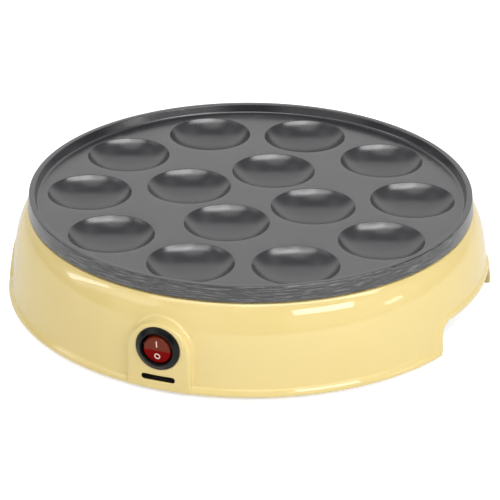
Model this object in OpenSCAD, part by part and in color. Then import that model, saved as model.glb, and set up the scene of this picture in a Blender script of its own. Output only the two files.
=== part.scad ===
// Round table-top maker of mini pancakes: a cast plate with dimples on a flared moulded body.
// Millimetres, +Z up, the front (with the switch) towards -Y, the origin on the table under the middle.

/* [Cooking plate] */
// Outer diameter of the plate's rim at its foot
plate_d = 236; // [230:1:240]
// Height of the rim above the plate's floor
rim_h = 4.9; // [3:0.1:7]
// Width of the rim's top
rim_w = 3.2; // [2.4:0.1:4]
// Rounding of the two edges of the rim's top
rim_round = 0.8; // [0.5:0.1:1.1]
// Slope of the rim's outer face, as the inset of its top
rim_inset = 0.6; // [0:0.1:1]
// Depth of the rim's foot below the floor
rim_drop = 3.8; // [2.5:0.1:4.5]
// Thickness of the plate's floor
plate_t = 5.5; // [5:0.1:7]
// Diameter of a dimple at the floor
dimple_d = 45; // [38:0.5:46]
// Depth of a dimple
dimple_depth = 9; // [6:0.5:11]
// Wall of a dimple under the floor
dimple_wall = 3.2; // [2.5:0.1:4]
// Number of dimples on the outer ring
outer_count = 10; // [8:1:10]
// Radius of the outer ring of dimples
outer_ring_r = 85.8; // [84:0.2:87]
// Number of dimples on the inner ring
inner_count = 4; // [4:1:4]
// Radius of the inner ring of dimples
inner_ring_r = 35.2; // [33:0.2:37]

/* [Body] */
// Diameter of the body at its foot lip
base_d = 259.2; // [256:0.4:266]
// Height of the body from its lower edge to the plate
body_h = 46.6; // [44:0.2:54]
// Wall of the body
wall = 2.6; // [2:0.1:3]
// How far the plate's rim overhangs the body's top
rim_over = 0.7; // [0.3:0.1:1]
// Height of the foot lip
lip_h = 3.6; // [3:0.1:5]
// How far the foot lip stands out from the wall
lip_w = 1.7; // [1.2:0.1:2]
// Rounding of the foot lip's edges
lip_round = 0.8; // [0.4:0.1:1.2]
// How far the wall leans in above the foot lip
wall_lean = 1.9; // [1.2:0.1:2.6]
// Height over which the wall runs out of the foot lip
wall_rise = 16; // [14:0.5:20]
// How far the rounded shoulder swells out beyond the seat
shoulder_reach = 8.6; // [7.6:0.1:9.4]
// Height over which the shoulder turns in to the seat
shoulder_drop = 8.4; // [7:0.1:9.4]
// Width of the body's top ring
mouth_w = 3.4; // [3:0.1:4.5]

/* [Grips] */
// Width of a grip cut-out at the lower edge
grip_w = 88; // [70:1:96]
// Height of a grip cut-out above the lower edge
grip_h = 16.4; // [13:0.2:18]
// Rounding of a grip cut-out's upper corners
grip_round = 7.5; // [3:0.5:9]
// Lean of a grip cut-out's sides, in degrees
grip_lean = 8; // [0:1:12]
// Width of the raised edge round a grip cut-out
grip_edge = 3.6; // [2.6:0.1:4.6]
// Depth of the finger pocket behind a grip
pocket_depth = 24; // [18:1:26]

/* [Switch boss] */
// Height of the switch's centre above the lower edge
switch_h = 23.3; // [20:0.1:24]
// Half width of the boss, which is also the radius of its round top
boss_r = 17; // [15:0.5:19]
// How far below the switch's centre the boss's round top is centred
boss_drop = 3.5; // [0:0.1:3.8]
// How far the boss's round face stands in front of the foot lip
boss_proud = 0.4; // [0.3:0.1:1.5]
// Length of the slot under the switch
slot_l = 18.4; // [12:0.2:22]
// Height of the slot
slot_w = 2.6; // [1.6:0.1:3]
// Distance from the switch's centre down to the slot
slot_drop = 16.7; // [14.5:0.1:17]
// Width of the thinned wall behind the slot's edge
slot_relief = 2; // [1:0.1:2.4]

/* [Switch] */
// Diameter of the switch's bezel
bezel_d = 23; // [22:0.1:25]
// Thickness of the bezel in front of the boss
bezel_t = 2.2; // [2:0.1:3]
// Diameter of the switch's barrel
barrel_d = 19.8; // [19.4:0.1:20.4]
// Depth of the barrel behind the boss's face
barrel_l = 20; // [19.6:0.2:24]
// Diameter of the ball that the rocker is cut from
rocker_d = 16; // [15.6:0.1:16.4]
// Distance from the rocker's pin to the middle of its face
rocker_face = 3.4; // [3.2:0.1:3.6]
// Depth of the face's middle behind the bezel's front
rocker_sink = 2; // [1.8:0.1:2.4]
// Radius of the hollow across the rocker's face
rocker_hollow_r = 30; // [26:1:40]
// Tilt of the rocker to either side of level
rocker_tilt = 11; // [8:0.5:12]
// Tilt of the contact blade to either side of level
blade_tilt = 8; // [6:0.5:9]
// Diameter of the rocker's pin
pin_d = 2.4; // [2:0.1:2.6]
// Reach of the plunger's nose behind the pin
plunger_reach = 9; // [8.6:0.1:9.2]

/* [Cover and feet] */
// Clear height under the body's lower edge
foot_stand = 2.4; // [1.5:0.1:4]
// Diameter of a foot
foot_d = 12; // [9:0.5:15]
// Depth of a foot's seat in the cover
foot_seat = 0.8; // [0.4:0.1:1.4]
// Thickness of the bottom cover
cover_t = 2.5; // [2:0.1:3]
// Height of the cover above the body's lower edge
cover_inset = 2; // [1.4:0.1:2.6]

/* [Heater] */
// Diameter of the heater tube
element_d = 6.5; // [6:0.1:7]
// Half of the open angle between the heater's ends, at the rear
element_gap_a = 28; // [24:1:32]
// Clear height between the dimples and the heat shield
shield_gap = 4; // [3:0.5:5]
// Thickness of the heat shield
shield_t = 0.8; // [0.6:0.1:1.2]
// Height of the heat shield's turned-up rim
shield_rim = 3; // [2:0.5:4]
// Thickness of the heater's clamps
clamp_t = 1; // [0.8:0.1:1.2]
// Width of a heater clamp
clamp_w = 10; // [9:0.5:12]
// Diameter of the plate's posts
post_d = 9; // [8.5:0.1:10]
// Diameter of the thermostat's sensing cap
sensor_d = 16; // [15:0.5:16.5]
// Distance between the thermostat's two screws
sensor_pitch = 23.8; // [23:0.2:25]

/* [Mains entry] */
// Diameter of the mains lead that the entry is made for
lead_d = 7; // [6.4:0.1:7.6]
// Height of the entry's centre above the lower edge
entry_h = 14; // [13.6:0.1:15]
// Diameter of the gland's barrel
gland_d = 12.8; // [12:0.1:13.4]
// Diameter of the gland's outer flange
gland_flange_d = 18; // [17:0.5:20]
// Diameter of the inside wires
wire_d = 2.4; // [1.8:0.1:2.6]

/* [Fasteners] */
// Diameter of the large screws
screw_d = 4; // [3.5:0.1:4.2]
// Diameter of the small screws
small_screw_d = 3; // [2.6:0.1:3.2]

/* [Hidden] */
$fn = 96;

// Clearances
gap = 0.4;            // round a cover, a spigot or a barrel in its opening
screw_gap = 0.2;      // round a screw's shank in a clearance hole
thread_gap = 0.05;    // round a screw's shank in its thread
run_gap = 0.05;       // round the rocker's pin
ball_gap = 0.3;       // round the rocker
seat_gap = 0.1;       // between pieces that lie against each other

// Levels
z_bot = foot_stand;
z_top = z_bot + body_h;
z_floor = z_top + rim_drop;
z_rim = z_floor + rim_h;
z_under = z_floor - plate_t;
z_lip = z_bot + lip_h;
z_cover = z_bot + cover_inset;
z_deck = z_cover + cover_t;
z_switch = z_bot + switch_h;
z_slot = z_switch - slot_drop;
z_entry = z_bot + entry_h;
z_grip = z_bot + grip_h;

// Plate
r_rim = plate_d / 2;
r_rim_top = r_rim - rim_inset;
rim_wall_slope = 1;
r_floor = r_rim_top - rim_w - rim_wall_slope;
ball_r = (pow(dimple_d / 2, 2) + pow(dimple_depth, 2)) / (2 * dimple_depth);
z_ball = z_floor - dimple_depth + ball_r;
bulge_r = ball_r + dimple_wall;
dimple_places = concat(
  [for (k = [0:outer_count - 1]) outer_ring_r * [cos(k * 360 / outer_count - 90), sin(k * 360 / outer_count - 90)]],
  [for (k = [0:inner_count - 1]) inner_ring_r * [cos(k * 360 / inner_count - 90), sin(k * 360 / inner_count - 90)]]
);

// Body profile: one smooth curve from the foot lip over wall and shoulder to the plate's seat
r_lip = base_d / 2;
r_seat = r_rim - rim_over;
r_mouth = r_seat - mouth_w;
r_spigot = r_mouth - gap;
r_body = max(r_lip, r_seat + shoulder_reach);
r_face = r_body + boss_proud;
seat_d = bezel_d + 2 * gap;
face_y = sqrt(pow(r_face, 2) - pow(seat_d / 2, 2)) - 0.15;
panel_y = face_y - wall;
switch_wing = 1.4;
wall_steps = 16;
wall_foot = [r_lip - lip_w, z_lip];
wall_curve = [wall_foot, wall_foot + [-wall_lean, wall_rise], [r_seat + shoulder_reach, z_top - shoulder_drop], [r_seat, z_top]];
function bezier(p, t) = pow(1 - t, 3) * p[0] + 3 * t * pow(1 - t, 2) * p[1] + 3 * t * t * (1 - t) * p[2] + pow(t, 3) * p[3];
function bezier_way(p, t) = pow(1 - t, 2) * (p[1] - p[0]) + 2 * t * (1 - t) * (p[2] - p[1]) + t * t * (p[3] - p[2]);
function wall_points(inset) = [for (k = [0:wall_steps]) let (t = k / wall_steps, w = bezier_way(wall_curve, t))
  bezier(wall_curve, t) + inset * [-w.y, w.x] / norm(w)];
function wall_x(z, inset) = lookup(z, [for (p = wall_points(inset)) [p.y, p.x]]);
lip_steps = 4;
lip_r = min(lip_round, lip_w);
lip_c = [r_lip - lip_r, z_bot + lip_r];
function arc(c, r, from, to, steps) =
  [for (k = [0:steps]) let (a = from + (to - from) * k / steps) c + r * [cos(a), sin(a)]];
lip_points = concat(arc(lip_c, lip_r, -90, 0, lip_steps), arc([lip_c.x, z_lip - lip_r], lip_r, 0, 90, lip_steps));

// Screws that hold the plate, on the body's inner tabs between the dimples
gap_step = 360 / outer_count;
function between_dimples(a) = (floor((a + 90) / gap_step) + 0.5) * gap_step - 90;
plate_screw_angles = [for (a = [-40, 40, 140, 220]) between_dimples(a)];
tab_t = 4;
plate_boss_h = 4;
plate_boss_d = screw_d + 5;
z_tab = z_under - plate_boss_h;
plate_screw_r = r_spigot - plate_boss_d / 2 - 2;
plate_thread = 7;

// Cover, feet and the posts that the cover is screwed to
r_cover = wall_x(z_deck, wall) - gap;
cover_screw_angles = [60, 120, 240, 300];
cover_post_d = screw_d + 5;
cover_post_r = r_cover - cover_post_d / 2 - 8;
cover_post_h = 20;
cover_rib_w = 3;
cover_thread = 10;
foot_angles = [45, 135, 225, 315];
foot_r = r_cover - foot_d / 2 - 0.2;
z_pocket = z_grip + 1.5;
pocket_x = r_cover - pocket_depth;
pocket_half = grip_w / 2 + 4;
pocket_r = wall_x(z_pocket + cover_t, wall) - gap;

// Heater, shield and what is screwed to the plate's posts
element_r = (inner_ring_r + outer_ring_r) / 2;
z_element = z_under - seat_gap - element_d / 2;
z_shield = z_floor - dimple_depth - dimple_wall - shield_gap;
shield_r = plate_screw_r - plate_boss_d / 2 - 3;
post_r = element_r - element_d / 2 - post_d / 2 - 6;
post_angles = [45, 135, 225, 315];
z_post = z_shield + clamp_t;
shield_thread = 8;
sleeve_d = element_d + 0.8;
sleeve_hole_d = sleeve_d + 2;
z_sleeve = z_shield - shield_t - 4;
element_ends = [90 - element_gap_a, 90 + element_gap_a];
bead_d = sleeve_d + 1.2;
bead_h = 6;
bead_bore = 2.6;
stem_d = bead_bore - 2 * seat_gap;
blade_l = 5;
z_blade_end = z_sleeve - bead_h - blade_l;

// Thermostat on the middle of the plate
sensor_boss_h = 4.5;
sensor_boss_d = small_screw_d + 3.4;
flange_t = 1;
z_flange = z_under - sensor_boss_h;
sensor_body_h = 7;
z_sensor_low = z_flange - flange_t - sensor_body_h;
shield_hole_r = sensor_pitch / 2 + sensor_boss_d;
sensor_tab_x = 4;
sensor_tab = [0.8, 6.3, 8];

// Fuse and earth lug under the shield
fuse_y = 62;
fuse_l = 30;
fuse_d = 6;
z_fuse = z_shield - shield_t - 0.2 - fuse_d / 2;
strap_t = 0.8;
strap_w = 8;
fuse_screw_y = fuse_y + fuse_d / 2 + strap_t + 4.4;
earth_y = 44;
lug_t = 0.8;
lug_d = 2.6 * small_screw_d;
lug_barrel = 6;

// Switch
pivot_y = -(face_y + bezel_t - rocker_sink - rocker_face);
bore_d = rocker_d + 2 * ball_gap;
blade_t = 0.6;
blade_y = pivot_y + plunger_reach + ball_gap + blade_t / 2;
blade_half = 5.5;
switch_back_y = -(face_y - barrel_l);
switch_wall = 2.4;
switch_tab = [4.8, 0.8];
switch_tab_out = 9;
switch_tab_end = switch_back_y + switch_tab_out;
tab_low = -5;
tab_high = 5.5;
stalk_d = 5.5;
stalk_l = 7;
stalk_bore = 2.6;
lamp_d = 2.4;
lamp_l = 5;
pocket_d = 12.8;
lens_t = 2;

// Mains entry, lead clamp and terminal block on the cover
lead_hole_d = lead_d + 0.2;
gland_back = 14;
nut_h = 4;
entry_boss_r = 12;
nut_d = 2 * (min(entry_boss_r - wall, z_entry - z_deck) - gap);
clamp_in = 25.6;
clamp_y = r_cover - clamp_in;
clamp_l = 8;
clamp_post_d = small_screw_d + 4;
clamp_post_x = lead_d / 2 + clamp_post_d / 2 + 2.4;
clamp_bar_h = 4;
z_clamp = z_entry + 2;
block = [32, 18, 13];
block_in = 26;
block_y = clamp_y - block_in;
block_pitch = 10;
block_bore = 6;
wire_in = 5;
z_block_bore = z_deck + 6;
peg_d = 3;
peg_h = 6;
peg_x = block_pitch / 2;
block_front = block_y - block.y / 2;

// Shared shapes

// A pan-head screw that points up, its head's bearing face at the origin
module screw(d, length) {
  head_d = 1.9 * d;
  head_h = 0.55 * d;
  slot = [0.22 * d, 1.1 * d, 0.3 * d];
  difference() {
    union() {
      cylinder(d = d, h = length);
      translate([0, 0, -head_h]) cylinder(d = head_d, h = head_h);
    }
    for (a = [0, 90])
      rotate(a) translate([-slot.x / 2, -slot.y / 2, -head_h - 0.1]) cube([slot.x, slot.y, slot.z + 0.1]);
  }
}

// Copies of a shape round the origin
module around(angles, r) {
  for (a = angles)
    rotate(a) translate([r, 0, 0]) children();
}

// A point on a smooth curve between b and c, with its neighbours a and d
function curve_point(a, b, c, d, t) =
  0.5 * (2 * b + (c - a) * t + (2 * a - 5 * b + 4 * c - d) * t * t + (3 * b - a - 3 * c + d) * t * t * t);

// The curve through a list of points, in a few steps between each pair
function curve(p, steps) = concat(
  [for (i = [0:len(p) - 2]) for (s = [0:steps - 1])
    curve_point(p[max(i - 1, 0)], p[i], p[i + 1], p[min(i + 2, len(p) - 1)], s / steps)],
  [p[len(p) - 1]]
);

// A round wire along a list of points, straight at both ends
module wire(points, d) {
  sides = 8;
  steps = 4;
  path = curve(points, steps);
  last = len(path) - 1;
  skew = [0.8, 0.5, -0.33];
  function unit(v) = v / norm(v);
  function way(i) = unit(i == 0 ? points[1] - points[0]
    : i == last ? points[len(points) - 1] - points[len(points) - 2] : path[i + 1] - path[i - 1]);
  ring_points = [for (i = [0:last]) let (t = way(i), u = unit(cross(t, skew)), v = cross(t, u))
    for (k = [0:sides - 1]) path[i] + d / 2 * (cos(k * 360 / sides) * u + sin(k * 360 / sides) * v)];
  function at(i, k) = i * sides + (k % sides);
  side_faces = [for (i = [0:last - 1]) for (k = [0:sides - 1])
    for (f = [[at(i, k), at(i + 1, k), at(i + 1, k + 1)], [at(i, k), at(i + 1, k + 1), at(i, k + 1)]]) f];
  start_face = [[for (k = [0:sides - 1]) at(0, k)]];
  end_face = [[for (k = [sides - 1:-1:0]) at(last, k)]];
  polyhedron(points = ring_points, faces = concat(side_faces, start_face, end_face));
}

// Cooking plate

module plate_profile() {
  r_in = r_rim_top - rim_w;
  z_round = z_rim - rim_round;
  polygon([
    [0, z_under], [r_spigot, z_under], [r_spigot, z_top], [r_rim, z_top],
    [r_rim_top, z_round], [r_in, z_round], [r_floor, z_floor], [0, z_floor]
  ]);
  translate([r_in + rim_round, z_round]) square([rim_w - 2 * rim_round, rim_round]);
  for (r = [r_in + rim_round, r_rim_top - rim_round])
    translate([r, z_round]) circle(r = rim_round);
}

// The round underside of a dimple, up into the floor
module bulge_profile() {
  intersection() {
    translate([0, z_ball]) circle(r = bulge_r);
    translate([0, z_ball - bulge_r - 1]) square([dimple_d, z_under + 1 - (z_ball - bulge_r - 1)]);
  }
}

module sensor_places() {
  for (s = [-1, 1])
    rotate(45) translate([s * sensor_pitch / 2, 0, 0]) children();
}

module cooking_plate() {
  color([0.30, 0.31, 0.33])
  difference() {
    union() {
      rotate_extrude() plate_profile();
      for (p = dimple_places)
        translate([p.x, p.y, 0]) rotate_extrude() bulge_profile();
      around(post_angles, post_r)
        translate([0, 0, z_post]) cylinder(d = post_d, h = z_under + 1 - z_post);
      around(plate_screw_angles, plate_screw_r)
        translate([0, 0, z_tab]) cylinder(d = plate_boss_d, h = plate_boss_h + 1);
      sensor_places()
        translate([0, 0, z_flange]) cylinder(d = sensor_boss_d, h = sensor_boss_h + 1);
    }
    for (p = dimple_places)
      translate([p.x, p.y, z_ball]) sphere(r = ball_r);
    around(post_angles, post_r)
      translate([0, 0, z_post - 1]) cylinder(d = screw_d + 2 * thread_gap, h = shield_thread + 2);
    around(plate_screw_angles, plate_screw_r)
      translate([0, 0, z_tab - 1]) cylinder(d = screw_d + 2 * thread_gap, h = plate_thread + 1.5);
    sensor_places()
      translate([0, 0, z_flange - 1]) cylinder(d = small_screw_d + 2 * thread_gap, h = sensor_boss_h + 2.5);
  }
}

module plate_screws() {
  color([0.75, 0.75, 0.77])
  around(plate_screw_angles, plate_screw_r)
    translate([0, 0, z_tab - tab_t]) screw(screw_d, tab_t + plate_thread);
}

// Body

// The body's half sections
module outer_profile() {
  polygon(concat([[0, z_bot]], lip_points, wall_points(0), [[0, z_top]]));
}

module inner_profile() {
  z_low = z_bot - 1;
  side = wall_points(wall);
  polygon(concat([[0, z_low], [side[0].x, z_low]], side, [[0, side[wall_steps].y]]));
}

// The half section that the raised edges of the grips are cut from: the wall moved out to the lip
module edge_profile() {
  side = wall_points(-lip_w);
  polygon(concat([[0, side[0].y]], side, [[0, side[wall_steps].y]]));
}

// The front boss's outline, seen from the front
module boss_outline(r, z_low) {
  translate([0, z_switch - boss_drop]) circle(r = r);
  translate([-r, z_low]) square([2 * r, z_switch - boss_drop - z_low]);
}

// A flat outline in X and Z, drawn out along Y from y_from to y_to
module along_y(y_from, y_to) {
  translate([0, y_to, 0]) rotate([90, 0, 0]) linear_extrude(y_to - y_from) children();
}

module body_outside() {
  rotate_extrude($fn = 180) outer_profile();
  intersection() {
    along_y(-r_face - 1, -r_lip / 2) boss_outline(boss_r, z_bot);
    cylinder(r = r_face, h = z_top, $fn = 180);
  }
  along_y(r_lip / 2, face_y) translate([0, z_entry]) circle(r = entry_boss_r);
  intersection() {
    rotate_extrude($fn = 180) edge_profile();
    for (a = [90, -90])
      rotate(a) along_y(-r_lip - 5, -pocket_x) grip_outline(grip_edge);
  }
}

module body_inside() {
  rotate_extrude($fn = 180) inner_profile();
  translate([0, 0, z_top - 2 * wall]) cylinder(r = r_mouth, h = 3 * wall);
  along_y(-panel_y, -r_lip / 2) {
    boss_outline(boss_r - wall, z_bot - 1);
    translate([0, z_switch]) circle(r = barrel_d / 2 + switch_wing + gap);
  }
  along_y(r_lip / 2, panel_y) translate([0, z_entry]) circle(r = entry_boss_r - wall);
}

// What stands inside the body: tabs for the plate's screws and posts for the cover's screws
module body_supports() {
  tab_reach = r_body - plate_screw_r;
  around(plate_screw_angles, plate_screw_r) {
    translate([0, 0, z_tab - tab_t]) cylinder(d = plate_boss_d + 2, h = tab_t);
    translate([0, -plate_boss_d / 2 - 1, z_tab - tab_t]) cube([tab_reach, plate_boss_d + 2, tab_t]);
  }
  around(cover_screw_angles, cover_post_r) {
    translate([0, 0, z_deck]) cylinder(d = cover_post_d, h = cover_post_h);
    translate([0, -cover_rib_w / 2, z_deck]) cube([r_body - cover_post_r, cover_rib_w, cover_post_h]);
  }
}

// A grip cut-out's outline across the skirt, grown by the width of its raised edge or not
module grip_outline(grow) {
  r = grip_round + grow;
  z_round = z_grip + grow - r;
  half = grip_w / 2 + grow / cos(grip_lean) - (z_round + r * sin(grip_lean) - z_bot) * tan(grip_lean);
  corner = arc([half - r * cos(grip_lean), z_round], r, grip_lean, 90, 6);
  foot = half + (corner[0].y + 1) * tan(grip_lean);
  side = concat([[foot, -1]], corner);
  last = len(side) - 1;
  polygon(concat(side, [for (k = [last:-1:0]) [-side[k].x, side[k].y]]));
}

// The slot's outline, grown for the thinned wall behind its edge or not
module slot_outline(grow) {
  straight = slot_l - slot_w;
  w = slot_w + 2 * grow;
  translate([-straight / 2, z_slot - w / 2]) square([straight, w]);
  for (s = [-1, 1])
    translate([s * straight / 2, z_slot]) circle(d = w);
}

module base_housing() {
  color([0.95, 0.87, 0.60])
  difference() {
    body_outside();
    difference() {
      body_inside();
      body_supports();
    }
    for (a = [90, -90])
      rotate(a) along_y(-r_lip - 5, -pocket_x) grip_outline(0);
    along_y(-r_face - 1, -face_y) translate([0, z_switch]) circle(d = seat_d);
    along_y(-r_face - 1, -panel_y + 1) {
      translate([0, z_switch]) circle(d = barrel_d + gap);
      slot_outline(0);
    }
    along_y(1 - face_y, 1 - panel_y) slot_outline(slot_relief);
    along_y(panel_y - 1, face_y + 1) translate([0, z_entry]) circle(d = gland_d + gap);
    around(plate_screw_angles, plate_screw_r)
      translate([0, 0, z_tab - tab_t - 1]) cylinder(d = screw_d + 2 * screw_gap, h = tab_t + 2);
    around(cover_screw_angles, cover_post_r)
      translate([0, 0, z_deck - 1]) cylinder(d = screw_d + 2 * thread_gap, h = cover_thread + 2);
  }
}

// Bottom cover and feet

module pocket_plan(outer) {
  grow = outer ? cover_t : 0;
  reach = outer ? pocket_r : 2 * r_lip;
  intersection() {
    circle(r = reach, $fn = 180);
    translate([pocket_x - grow, -pocket_half - grow]) square([2 * r_lip, 2 * (pocket_half + grow)]);
  }
}

module lead_hole() {
  translate([0, clamp_y - clamp_l, z_entry]) rotate([-90, 0, 0]) cylinder(d = lead_hole_d, h = 2 * clamp_l);
}

module clamp_places() {
  for (s = [-1, 1])
    translate([s * clamp_post_x, clamp_y, 0]) children();
}

module bottom_cover() {
  color([0.22, 0.22, 0.23])
  difference() {
    union() {
      translate([0, 0, z_cover]) cylinder(r = r_cover, h = cover_t, $fn = 180);
      for (a = [0, 180])
        rotate(a) translate([0, 0, z_cover]) linear_extrude(z_pocket + cover_t - z_cover) pocket_plan(true);
      translate([-lead_d / 2 - 1, clamp_y - clamp_l / 2, z_deck - 1])
        cube([lead_d + 2, clamp_l, z_entry - 2 - z_deck + 1]);
      clamp_places() translate([0, 0, z_deck - 1]) cylinder(d = clamp_post_d, h = z_clamp - z_deck + 1);
      for (s = [-1, 1])
        translate([s * peg_x, block_y, z_deck - 1]) cylinder(d = peg_d, h = peg_h + 1);
    }
    for (a = [0, 180])
      rotate(a) translate([0, 0, z_cover - 1]) linear_extrude(z_pocket - z_cover + 1) pocket_plan(false);
    lead_hole();
    clamp_places() translate([0, 0, z_deck + 1]) cylinder(d = small_screw_d + 2 * thread_gap, h = z_clamp);
    around(cover_screw_angles, cover_post_r)
      translate([0, 0, z_cover - 1]) cylinder(d = screw_d + 2 * screw_gap, h = cover_t + 2);
    around(foot_angles, foot_r)
      translate([0, 0, z_cover - 1]) cylinder(d = foot_d + 2 * seat_gap, h = foot_seat + 1);
  }
}

module rubber_feet() {
  color([0.55, 0.55, 0.53])
  around(foot_angles, foot_r) cylinder(d = foot_d, h = z_cover + foot_seat);
}

module cover_screws() {
  color([0.75, 0.75, 0.77])
  around(cover_screw_angles, cover_post_r)
    translate([0, 0, z_cover]) screw(screw_d, cover_t + cover_thread);
}

// Heater

module heating_element() {
  color([0.45, 0.43, 0.40]) {
    rotate(element_ends[1]) rotate_extrude(angle = 360 - 2 * element_gap_a)
      translate([element_r, z_element]) circle(d = element_d);
    around(element_ends, element_r)
      translate([0, 0, z_sleeve]) cylinder(d = sleeve_d, h = z_under - seat_gap - z_sleeve);
  }
}

module element_insulators() {
  color([0.92, 0.90, 0.85])
  around(element_ends, element_r)
    translate([0, 0, z_sleeve - bead_h])
      difference() {
        cylinder(d = bead_d, h = bead_h);
        translate([0, 0, -1]) cylinder(d = bead_bore, h = bead_h + 2);
      }
}

module element_pins() {
  color([0.72, 0.72, 0.74])
  around(element_ends, element_r) {
    translate([0, 0, z_sleeve - bead_h - 1]) cylinder(d = stem_d, h = bead_h + 1);
    translate([-0.4, -3.15, z_blade_end]) cube([0.8, 6.3, blade_l]);
  }
}

// A strip from the post's end under the heater tube, bent up to it
module clamp_strip() {
  z_hold = z_element - element_d / 2 - seat_gap;
  r_in = post_r - clamp_w / 2;
  r_bend = element_r - element_d / 2 - 3;
  r_out = element_r + element_d / 2 + 1;
  rotate([90, 0, 0]) translate([0, 0, -clamp_w / 2]) linear_extrude(clamp_w)
    polygon([
      [r_in, z_shield], [r_bend + clamp_t, z_shield], [r_bend + clamp_t, z_hold - clamp_t], [r_out, z_hold - clamp_t],
      [r_out, z_hold], [r_bend, z_hold], [r_bend, z_post], [r_in, z_post]
    ]);
}

module element_clamps() {
  color([0.70, 0.70, 0.72])
  for (a = post_angles)
    rotate(a)
      difference() {
        clamp_strip();
        translate([post_r, 0, z_shield - 1]) cylinder(d = screw_d + 2 * screw_gap, h = clamp_t + 2);
      }
}

module heat_shield() {
  color([0.74, 0.75, 0.76])
  difference() {
    rotate_extrude()
      polygon([
        [shield_hole_r, z_shield - shield_t], [shield_r, z_shield - shield_t], [shield_r, z_shield + shield_rim],
        [shield_r - shield_t, z_shield + shield_rim], [shield_r - shield_t, z_shield], [shield_hole_r, z_shield]
      ]);
    around(post_angles, post_r)
      translate([0, 0, z_shield - shield_t - 1]) cylinder(d = screw_d + 2 * screw_gap, h = shield_t + 2);
    around(element_ends, element_r)
      translate([0, 0, z_shield - shield_t - 1]) cylinder(d = sleeve_hole_d, h = shield_t + 2);
    for (y = [fuse_screw_y, earth_y])
      translate([0, y, z_shield - shield_t - 1])
        cylinder(d = small_screw_d + 2 * thread_gap, h = shield_t + 2);
  }
}

module shield_screws() {
  color([0.75, 0.75, 0.77])
  around(post_angles, post_r)
    translate([0, 0, z_shield - shield_t]) screw(screw_d, shield_t + clamp_t + shield_thread);
}

// Thermostat and fuse

module thermostat_cap() {
  color([0.80, 0.80, 0.82])
  difference() {
    union() {
      translate([0, 0, z_flange - flange_t]) cylinder(d = sensor_d, h = z_under - z_flange + flange_t);
      translate([0, 0, z_flange - flange_t]) rotate(45)
        translate([-sensor_pitch / 2, -sensor_boss_d / 2, 0]) cube([sensor_pitch, sensor_boss_d, flange_t]);
      sensor_places() translate([0, 0, z_flange - flange_t]) cylinder(d = sensor_boss_d, h = flange_t);
    }
    sensor_places()
      translate([0, 0, z_flange - flange_t - 1]) cylinder(d = small_screw_d + 2 * screw_gap, h = flange_t + 2);
  }
}

module thermostat_body() {
  color([0.35, 0.22, 0.15])
  translate([0, 0, z_sensor_low]) cylinder(d = sensor_d - 1, h = sensor_body_h);
}

module thermostat_terminals() {
  color([0.80, 0.68, 0.38])
  for (s = [-1, 1])
    translate([s * sensor_tab_x - sensor_tab.x / 2, -sensor_tab.y / 2, z_sensor_low - sensor_tab.z]) cube(sensor_tab);
}

module thermostat_screws() {
  color([0.75, 0.75, 0.77])
  sensor_places()
    translate([0, 0, z_flange - flange_t]) screw(small_screw_d, flange_t + sensor_boss_h);
}

module thermal_fuse() {
  color([0.90, 0.88, 0.80])
  translate([-fuse_l / 2, fuse_y, z_fuse]) rotate([0, 90, 0]) cylinder(d = fuse_d, h = fuse_l);
}

// A strap under the fuse with an ear that is screwed to the shield
module fuse_clip() {
  z_face = z_shield - shield_t;
  strap_r = fuse_d / 2 + seat_gap + strap_t;
  color([0.70, 0.70, 0.72])
  difference() {
    translate([strap_w / 2, 0, 0]) rotate([0, -90, 0]) linear_extrude(strap_w)
      difference() {
        union() {
          translate([z_fuse, fuse_y]) circle(r = strap_r);
          translate([z_fuse, fuse_y - strap_r]) square([z_face - z_fuse, 2 * strap_r]);
          translate([z_face - strap_t, fuse_y]) square([strap_t, fuse_screw_y - fuse_y + strap_w / 2]);
        }
        translate([z_fuse, fuse_y]) circle(r = strap_r - strap_t);
        translate([z_fuse, fuse_y - strap_r + strap_t]) square([z_face, 2 * (strap_r - strap_t)]);
        translate([z_face, fuse_y - 2 * strap_r]) square([fuse_d, 6 * strap_r]);
      }
    translate([0, fuse_screw_y, z_face - 2 * strap_t]) cylinder(d = small_screw_d + 2 * screw_gap, h = 3 * strap_t);
  }
}

module fuse_screw() {
  color([0.75, 0.75, 0.77])
  translate([0, fuse_screw_y, z_shield - shield_t - strap_t]) screw(small_screw_d, strap_t + shield_t + 2);
}

// The lug's ring lies under the shield, with its barrel towards the front
module earth_lug() {
  z_face = z_shield - shield_t;
  color([0.80, 0.68, 0.38])
  difference() {
    union() {
      translate([0, earth_y, z_face - lug_t]) cylinder(d = lug_d, h = lug_t);
      translate([-wire_d / 2, earth_y - lug_d - 1, z_face - lug_t]) cube([wire_d, lug_d, lug_t]);
      translate([0, earth_y - lug_d, z_face - lug_t - wire_d / 2]) rotate([90, 0, 0])
        cylinder(d = wire_d + 1.2, h = lug_barrel);
    }
    translate([0, earth_y, z_face - 2 * lug_t]) cylinder(d = small_screw_d + 2 * screw_gap, h = 3 * lug_t);
    translate([-wire_d, earth_y - 3 * lug_d, z_face]) cube([2 * wire_d, 3 * lug_d, wire_d]);
  }
}

module earth_screw() {
  color([0.75, 0.75, 0.77])
  translate([0, earth_y, z_shield - shield_t - lug_t]) screw(small_screw_d, lug_t + shield_t + 2);
}

// Switch

// Puts a shape that is drawn round the rocker's pin, with its face towards -Y, at the pin
module at_pivot(tilt) {
  translate([0, pivot_y, z_switch]) rotate([tilt, 0, 0]) children();
}

module along_back(d, from, to) {
  translate([0, from, 0]) rotate([-90, 0, 0]) cylinder(d = d, h = to - from);
}

module along_x(d, length) {
  translate([-length / 2, 0, 0]) rotate([0, 90, 0]) cylinder(d = d, h = length);
}

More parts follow.
